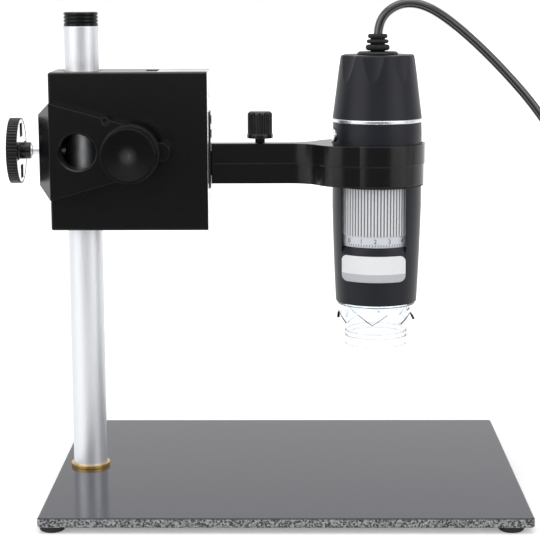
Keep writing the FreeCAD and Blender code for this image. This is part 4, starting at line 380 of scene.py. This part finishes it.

# %% [markdown]
# ## Focusing wheel and sticker
# The wheel is white ABS, and the grooves between its ribs are darkened grey as painted shade. Those
# grooves are what makes it readable at this distance. A groove is simply nearer to the axis, so
# the distance from the axis decides how much painted shade the plastic gets. The sticker is gloss film,
# blank here, with the grey band that the real one has along its lower edge.

# %% Wheel finish
SCOPE_X = 34.0 * MM
RIB_TOP = 14.75 * MM
GROOVE_FLOOR = 14.45 * MM
wheel_finish = finish("wheel_abs", "#eceef1", "#e4e6ea", (0.34, 0.46), 0.3, 0.004, edge_mm=0.1, patch_mm=6)
wheel_tree = wheel_finish.node_tree
wheel_shader = wheel_tree.nodes["Principled BSDF"]
wheel_place = add(wheel_tree, "ShaderNodeTexCoord", {}).outputs["Object"]
from_axis = add(wheel_tree, "ShaderNodeVectorMath", {
    0: wheel_place, 1: (SCOPE_X, 0, 0)}, operation="SUBTRACT").outputs[0]
from_axis = add(wheel_tree, "ShaderNodeVectorMath", {
    0: from_axis, 1: (1, 1, 0)}, operation="MULTIPLY").outputs[0]
distance = add(wheel_tree, "ShaderNodeVectorMath", {0: from_axis}, operation="LENGTH").outputs["Value"]
# Painted shade: the plastic is mixed towards grey #7a7c81 in the grooves, fully at the groove floor.
in_groove = add(wheel_tree, "ShaderNodeMapRange", {
    "Value": distance, "From Min": RIB_TOP, "From Max": GROOVE_FLOOR}).outputs[0]
unshaded_colour = wheel_shader.inputs["Base Color"].links[0].from_socket
groove_shade = add(wheel_tree, "ShaderNodeMix", {
    0: in_groove, 6: unshaded_colour, 7: linear("#7a7c81")}, data_type="RGBA").outputs[2]
wheel_tree.links.new(groove_shade, wheel_shader.inputs["Base Color"])
print("groove depth", round((RIB_TOP - GROOVE_FLOOR) / MM, 2), "mm")

# %% Sticker finish
BAND_TOP = 76.3 * MM
label_finish = FINISHES["white_label"].copy()
label_finish.name = "film_with_grey_band"
label_tree = label_finish.node_tree
label_shader = label_tree.nodes["Principled BSDF"]
label_place = add(label_tree, "ShaderNodeTexCoord", {}).outputs["Object"]
label_height = add(label_tree, "ShaderNodeSeparateXYZ", {"Vector": label_place}).outputs["Z"]
in_band = add(label_tree, "ShaderNodeMath", {
    0: label_height, 1: BAND_TOP}, operation="LESS_THAN").outputs[0]
film_colour = label_shader.inputs["Base Color"].links[0].from_socket
banded = add(label_tree, "ShaderNodeMix", {
    0: in_band, 6: film_colour, 7: linear("#c3c5ca")}, data_type="RGBA").outputs[2]
label_tree.links.new(banded, label_shader.inputs["Base Color"])

# %% [markdown]
# ## Knob and thumb screw
# The front knob is darker and glossier than the shell, and its face carries a painted highlight:
# it is a little paler in the middle. The thumb screw's neck is blackened steel.

# %% Knob finish
KNOB_AXIS = (-55.3 * MM, 0.0, 122.1 * MM)
HIGHLIGHT_RADIUS = 4.5 * MM
knob_finish = finish("knob_abs", "#08080a", "#0b0b0d", (0.16, 0.24), 0.3, 0.003, Specular_IOR_Level=0.35)
knob_tree = knob_finish.node_tree
knob_shader = knob_tree.nodes["Principled BSDF"]
knob_place = add(knob_tree, "ShaderNodeTexCoord", {}).outputs["Object"]
off_axis = add(knob_tree, "ShaderNodeVectorMath", {
    0: knob_place, 1: KNOB_AXIS}, operation="SUBTRACT").outputs[0]
off_axis = add(knob_tree, "ShaderNodeVectorMath", {
    0: off_axis, 1: (1, 0, 1)}, operation="MULTIPLY").outputs[0]
off_axis = add(knob_tree, "ShaderNodeVectorMath", {0: off_axis}, operation="LENGTH").outputs["Value"]
# Painted highlight: the face is mixed towards pale grey #3a3a3c within a few millimetres of its axis.
painted_highlight_mask = add(knob_tree, "ShaderNodeMapRange", {
    "Value": off_axis, "From Min": HIGHLIGHT_RADIUS, "From Max": 0.0},
    interpolation_type="SMOOTHERSTEP").outputs[0]
knob_colour = knob_shader.inputs["Base Color"].links[0].from_socket
painted_highlight = add(knob_tree, "ShaderNodeMix", {0: painted_highlight_mask, 6: knob_colour, 7: linear("#3a3a3c")}, data_type="RGBA")
knob_tree.links.new(painted_highlight.outputs[2], knob_shader.inputs["Base Color"])
blackened_steel = finish("blackened_steel", "#1c1c1e", "#232325", (0.25, 0.40), 0.2, 0.003, Metallic=1.0)

# %% Finishes on the solids
OWN_FINISH = {
    "block_housing": housing_paint,
    "arm": FINISHES["dark_abs"],
    "arm_lock_knob": FINISHES["dark_abs"],
    "clamp_wheel": FINISHES["dark_abs"],
    "clamp_hub": FINISHES["dark_abs"],
    "arm_lock_screw": blackened_steel,
    "front_knob": knob_finish,
    "rear_knob": FINISHES["dark_abs"],
    "focus_wheel": wheel_finish,
    "scale_ring": finish("scale_abs", "#dfe2ea", "#d6dae3", (0.34, 0.46), 0.3, 0.002, edge_mm=0.1),
    "label_plate": label_finish,
}
for row in frame["record"]["subparts"]:
    node = frame["nodes"][row["node"]]
    chosen = OWN_FINISH.get(row["node"], FINISHES[row["material_slot"]])
    node.data.materials.clear()
    node.data.materials.append(chosen)
usb_cable.data.materials.append(FINISHES["cable_jacket"])

# %% [markdown]
# ## Turned and printed details
# The strain relief is moulded rubber: three soft, rounded rings on a core, so that it can bend
# with the cable. A stack of plain discs would look like machined parts. One outline turned about
# the axis is how such a part is drawn, and its ring edges can follow a rounded curve.
# The scale below the wheel is ink on a band: numbers and fine strokes wrapped about it.


# %% Turned outline
def turned_mesh(name, radii, heights, centre, steps=96, cut=0.0):
    """Surface of revolution: x = cx + r cos(a), y = cy + r sin(a), z = h(t), where r = r(t) - cut(t, a)."""
    angle = np.linspace(0, 2 * math.pi, steps, endpoint=False)
    ring = np.stack([np.cos(angle), np.sin(angle)], axis=-1)
    reach = np.broadcast_to(np.asarray(radii)[:, None] - cut, (len(radii), steps))
    flat = reach[:, :, None] * ring + np.asarray(centre)
    level = np.broadcast_to(np.asarray(heights)[:, None, None], flat.shape[:2] + (1,))
    places = np.concatenate([flat, level], axis=2)
    row, column = np.meshgrid(np.arange(len(radii) - 1), np.arange(steps), indexing="ij")
    following = (column + 1) % steps
    faces = np.stack([row * steps + column, row * steps + following,
                      (row + 1) * steps + following, (row + 1) * steps + column], axis=-1)
    return merged_mesh(name, places.reshape(-1, 3), faces.reshape(-1, 4))


def merged_mesh(name, places, faces):
    """Mesh from arrays, with points that coincide merged and all faces turned outwards."""
    mesh = bpy.data.meshes.new(name)
    mesh.from_pydata(places.tolist(), [], faces.tolist())
    shape = bmesh.new()
    shape.from_mesh(mesh)
    bmesh.ops.remove_doubles(shape, verts=shape.verts, dist=1e-7)
    bmesh.ops.dissolve_degenerate(shape, edges=shape.edges, dist=1e-8)
    bmesh.ops.recalc_face_normals(shape, faces=shape.faces)
    shape.to_mesh(mesh)
    shape.free()
    mesh.shade_smooth()
    return mesh


# %% Strain relief
RELIEF_BOTTOM = 157.05
RELIEF_CORE = 2.7
RIBS = ((4.45, 2.15), (4.05, 1.45), (3.6, 1.6))
RIB_GAP = 0.4
outline = [(0.0, RELIEF_BOTTOM), (RELIEF_CORE, RELIEF_BOTTOM)]
height = RELIEF_BOTTOM
for rib_radius, rib_height in RIBS:
    turn = np.linspace(-math.pi / 2, math.pi / 2, 13)
    # A flattened circle: the root of the cosine keeps the middle of the rib nearly straight.
    out = RELIEF_CORE + (rib_radius - RELIEF_CORE) * np.cos(turn) ** 0.5
    up = height + RIB_GAP + rib_height * (1 + np.sin(turn)) / 2
    outline += list(zip(out, up))
    height += RIB_GAP + rib_height
outline.append((0.0, height))
outline = np.array(outline) * MM
relief_mesh = turned_mesh("ribbed_relief", outline[:, 0], outline[:, 1], (SCOPE_X, 0.0))
relief = bpy.data.objects.new("ribbed_relief", relief_mesh)
scene.collection.objects.link(relief)
relief_mesh.materials.append(FINISHES["foot_rubber"])
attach(relief, "microscope")
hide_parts("strain_relief")
print("relief top", round(height, 2), "mm, faces", len(relief_mesh.polygons))

# %% [markdown]
# The upper cap has eight hollows about its top, where fingers hold it. Each one is a shallow
# bowl whose edge is a parabola, round at the bottom and widest at the rim. Cutting them with
# tilted cylinders gives edges so faint that they vanish under soft light. Taking the depth from
# a formula keeps the edge crisp, and the grid is fine enough to follow it.

# %% Upper cap
CAP_BOTTOM = 132.85
CAP_HEIGHT = 23.1
# Heights and radii of the cap's foot, bend and top.
CAP_HEIGHTS = (0.0, 13.0, CAP_HEIGHT)
CAP_RADII = (16.5, 14.85, 13.7)
CAP_WALL = 2.0
RIM_ROUNDING = 0.7
HOLLOWS = 8
HOLLOW_LENGTH = 10.0
HOLLOW_HALF_WIDTH = 4.1
HOLLOW_DEPTH = 1.3
HOLLOW_TURN = math.radians(-99.0)
CAP_STEPS = 640
PLAIN_TO = 12.0
FIRST_FINE = 12.3


def cap_radius(up):
    """A parabola through the cap's three radii at its foot, its bend and its top."""
    return np.polyval(np.polyfit(CAP_HEIGHTS, CAP_RADII, 2), up)


def hollow_depth(up, angle, radius):
    """Depth D (t - (u / w)^2) where it is positive.

    t runs from 0 at a hollow's point to 1 at the rim, u is the way round from its middle, and w is half
    its width at the rim.
    """
    share = (up - CAP_HEIGHT + HOLLOW_LENGTH) / HOLLOW_LENGTH
    sector = 2 * math.pi / HOLLOWS
    off = (angle - HOLLOW_TURN + sector / 2) % sector - sector / 2
    depth = HOLLOW_DEPTH * (share[:, None] - (radius[:, None] * off[None, :] / HOLLOW_HALF_WIDTH) ** 2)
    return np.clip(depth, 0.0, None)


# The outline runs from the ceiling inside down the inner wall, up the outer wall and over the rim.
wall_up = np.linspace(FIRST_FINE, CAP_HEIGHT - RIM_ROUNDING, 70)
outer_up = np.concatenate([np.linspace(0.0, PLAIN_TO, 9), wall_up])
turn = np.linspace(0, math.pi / 2, 6)[1:]
rim_up = CAP_HEIGHT - RIM_ROUNDING * (1 - np.sin(turn))
rim_radius = cap_radius(rim_up) - RIM_ROUNDING * (1 - np.cos(turn))
inner_up = np.array([CAP_HEIGHT - CAP_WALL, 0.0])
inner_radius = cap_radius(inner_up) - CAP_WALL
cap_up = np.concatenate([inner_up[:1], inner_up, outer_up, rim_up, np.full(2, CAP_HEIGHT)])
cap_radii = np.concatenate([[0.0], inner_radius, cap_radius(outer_up), rim_radius, [6.0, 0.0]])
carved = np.concatenate([np.zeros(3), np.ones(len(outer_up) + len(rim_up)), np.zeros(2)])
cap_angle = np.linspace(0, 2 * math.pi, CAP_STEPS, endpoint=False)
cap_cut = hollow_depth(cap_up, cap_angle, cap_radii) * carved[:, None]
cap_places = (cap_up + CAP_BOTTOM) * MM
cap_mesh = turned_mesh("hollowed_cap", cap_radii * MM, cap_places, (SCOPE_X, 0.0), CAP_STEPS, cap_cut * MM)
cap_mesh.shade_flat()
cap = bpy.data.objects.new("hollowed_cap", cap_mesh)
scene.collection.objects.link(cap)
cap_mesh.materials.append(FINISHES["black_plastic"])
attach(cap, "microscope")
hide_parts("upper_cap")
print("cap faces", len(cap_mesh.polygons), "deepest cut", cap_cut.max().round(2), "mm")

# %% Scale print
SCALE_RADIUS = 14.35 * MM
NUMBERS = 17
NUMBER_STEP = 360 / NUMBERS
FIRST_ANGLE = -46.8
NUMBER_HEIGHT = 87.6 * MM
STROKE_HEIGHT = 86.9 * MM
INK = 0.02 * MM
STROKES_PER_NUMBER = 5
STROKE_HALF_SIZE = np.array([0.09 * MM, 0.35 * MM, INK])
NUMBER_SIZE = 2.4 * MM


def wrapped(flat, angle_deg, middle):
    """A flat drawing laid about the scale: x becomes the way round, y the height and z the radius."""
    around = math.radians(angle_deg) + flat[:, 0] / SCALE_RADIUS
    radius = SCALE_RADIUS + flat[:, 2]
    height = middle + flat[:, 1]
    return np.stack([SCOPE_X + radius * np.sin(around), -radius * np.cos(around), height], axis=-1)


def number_drawing(text):
    """Points and faces of a short number, drawn flat and thickened by the ink's depth."""
    curve = bpy.data.curves.new("number", "FONT")
    curve.body = text
    curve.size = NUMBER_SIZE
    curve.extrude = INK
    curve.align_x = "CENTER"
    holder = bpy.data.objects.new("number", curve)
    scene.collection.objects.link(holder)
    mesh = bpy.data.meshes.new_from_object(holder.evaluated_get(bpy.context.evaluated_depsgraph_get()))
    places = np.empty(len(mesh.vertices) * 3)
    mesh.vertices.foreach_get("co", places)
    faces = [tuple(face.vertices) for face in mesh.polygons]
    bpy.data.objects.remove(holder)
    bpy.data.curves.remove(curve)
    bpy.data.meshes.remove(mesh)
    return places.reshape(-1, 3), faces


# %% Numbers and strokes
print_places = []
print_faces = []
count = 0
stroke = np.array([(x, y, z) for z in (-1, 1) for y in (-1, 1) for x in (-1, 1)], dtype=float)
stroke *= STROKE_HALF_SIZE
stroke_faces = [(0, 2, 3, 1), (4, 5, 7, 6), (0, 1, 5, 4), (2, 6, 7, 3), (0, 4, 6, 2), (1, 3, 7, 5)]
for index in range(NUMBERS):
    places, faces = number_drawing(str(index))
    print_places.append(wrapped(places, FIRST_ANGLE + index * NUMBER_STEP, NUMBER_HEIGHT))
    print_faces += [tuple(corner + count for corner in face) for face in faces]
    count += len(places)
for index in range(NUMBERS * STROKES_PER_NUMBER):
    angle = FIRST_ANGLE + index * NUMBER_STEP / STROKES_PER_NUMBER
    print_places.append(wrapped(stroke, angle, STROKE_HEIGHT))
    print_faces += [tuple(corner + count for corner in face) for face in stroke_faces]
    count += len(stroke)
scale_mesh = bpy.data.meshes.new("scale_print")
scale_mesh.from_pydata(np.concatenate(print_places).tolist(), [], print_faces)
ink_shape = bmesh.new()
ink_shape.from_mesh(scale_mesh)
bmesh.ops.remove_doubles(ink_shape, verts=ink_shape.verts, dist=1e-8)
bmesh.ops.recalc_face_normals(ink_shape, faces=ink_shape.faces)
ink_shape.to_mesh(scale_mesh)
ink_shape.free()
scale_print = bpy.data.objects.new("scale_print", scale_mesh)
scene.collection.objects.link(scale_print)
scale_ink = finish("scale_ink", "#202126", "#2a2b30", (0.45, 0.55), 0.3, 0.001, edge_mm=0.02)
scale_mesh.materials.append(scale_ink)
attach(scale_print, "focus_wheel")
print("scale faces", len(scale_mesh.polygons))

# %% [markdown]
# ## Floor and light
# The object was photographed on a white sweep, under large soft lamps. A floor that is white
# by its colour alone would render a little grey, so it also glows for the camera and for
# reflections: slightly under the object, where it still takes the contact shadow, and more
# behind it, where a real sweep curves up towards the lamps. The world is white where the
# camera, glass or the plate looks at it. It is a little darker behind the camera, as a studio
# is, and that shades the pole and keeps the black parts black.

# %% Floor
FLOOR_HALF = 6.0
FLOOR_HEIGHT = -5.7 * MM
floor_mesh = bpy.data.meshes.new("floor")
corners = np.array([(-1, -1), (1, -1), (1, 1), (-1, 1)]) * FLOOR_HALF
floor_mesh.from_pydata(np.c_[corners, np.full(4, FLOOR_HEIGHT)].tolist(), [], [(0, 1, 2, 3)])
floor = bpy.data.objects.new("floor", floor_mesh)
scene.collection.objects.link(floor)
NEAR_GLOW = 0.30
FAR_GLOW = 0.85
GLOW_START = 0.1
GLOW_END = 0.9
SWEEP_END = -0.30
floor_material = bpy.data.materials.new("white_sweep")
floor_material.use_nodes = True
floor_tree = floor_material.node_tree
floor_shader = floor_tree.nodes["Principled BSDF"]
floor_shader.inputs["Roughness"].default_value = 0.9
floor_shader.inputs["Specular IOR Level"].default_value = 0.0
floor_shader.inputs["Emission Color"].default_value = (1.0, 1.0, 1.0, 1.0)
floor_path = add(floor_tree, "ShaderNodeLightPath", {})
seen = add(floor_tree, "ShaderNodeMath", {
    0: floor_path.outputs["Is Camera Ray"], 1: floor_path.outputs["Is Glossy Ray"]}, operation="MAXIMUM")
seen = add(floor_tree, "ShaderNodeMath", {
    0: seen.outputs[0], 1: floor_path.outputs["Is Transmission Ray"]}, operation="MAXIMUM")
floor_place = add(floor_tree, "ShaderNodeTexCoord", {}).outputs["Object"]
floor_depth = add(floor_tree, "ShaderNodeSeparateXYZ", {"Vector": floor_place}).outputs["Y"]
strength = add(floor_tree, "ShaderNodeMapRange", {
    "Value": floor_depth, "From Min": GLOW_START, "From Max": GLOW_END,
    "To Min": NEAR_GLOW, "To Max": FAR_GLOW}).outputs[0]
# In front of the picture's lower edge the sweep ends on a dark floor, which keeps black faces black.
sweep = add(floor_tree, "ShaderNodeMapRange", {
    "Value": floor_depth, "From Min": SWEEP_END - 0.1, "From Max": SWEEP_END}).outputs[0]
cover = add(floor_tree, "ShaderNodeMix", {
    0: sweep, 6: linear("#5c5c5e"), 7: linear("#f4f4f4")}, data_type="RGBA").outputs[2]
floor_tree.links.new(cover, floor_shader.inputs["Base Color"])
strength = add(floor_tree, "ShaderNodeMath", {0: strength, 1: sweep}, operation="MULTIPLY").outputs[0]
glow = add(floor_tree, "ShaderNodeMath", {0: seen.outputs[0], 1: strength}, operation="MULTIPLY")
floor_tree.links.new(glow.outputs[0], floor_shader.inputs["Emission Strength"])
floor_mesh.materials.append(floor_material)
print("floor at", FLOOR_HEIGHT)

# %% World
AMBIENT = 0.55
FRONT_LEVEL = 0.85
world = bpy.data.worlds.new("white_studio")
world.use_nodes = True
scene.world = world
sky = world.node_tree
background = sky.nodes["Background"]
background.inputs["Color"].default_value = (1.0, 1.0, 1.0, 1.0)
direction = add(sky, "ShaderNodeTexCoord", {}).outputs["Generated"]
depth = add(sky, "ShaderNodeSeparateXYZ", {"Vector": direction}).outputs["Y"]
mirrored = add(sky, "ShaderNodeMapRange", {
    "Value": depth, "From Min": -0.9, "From Max": 0.0, "To Min": FRONT_LEVEL, "To Max": 1.0})
path = add(sky, "ShaderNodeLightPath", {})
level = add(sky, "ShaderNodeMix", {
    0: path.outputs["Is Glossy Ray"], 2: AMBIENT, 3: mirrored.outputs[0]}, data_type="FLOAT")
plain = add(sky, "ShaderNodeMath", {
    0: path.outputs["Is Camera Ray"], 1: path.outputs["Is Transmission Ray"]}, operation="MAXIMUM")
level = add(sky, "ShaderNodeMix", {0: plain.outputs[0], 2: level.outputs[0], 3: 1.0}, data_type="FLOAT")
sky.links.new(level.outputs[0], background.inputs["Strength"])

# %% Lamps
LAMPS = {
    "left_softbox": ((-0.70, -0.55, 0.35), (0.8, 0.9), 3.0),
    "right_softbox": ((0.75, -0.60, 0.30), (0.7, 0.9), 2.6),
    "top_softbox": ((0.0, -0.10, 0.95), (1.0, 0.8), 4.0),
}
AIM = Vector((0.0, 0.0, 0.09))
for name, (place, size, power) in LAMPS.items():
    lamp = bpy.data.lights.new(name, "AREA")
    lamp.shape = "RECTANGLE"
    lamp.size, lamp.size_y = size
    lamp.energy = power
    holder = bpy.data.objects.new(name, lamp)
    holder.location = place
    holder.rotation_mode = "QUATERNION"
    holder.rotation_quaternion = (AIM - Vector(place)).to_track_quat("-Z", "Y")
    scene.collection.objects.link(holder)
scene.view_settings.view_transform = "Standard"
print("lamps", sorted(LAMPS))

# %% Update the scene
bpy.context.view_layer.update()
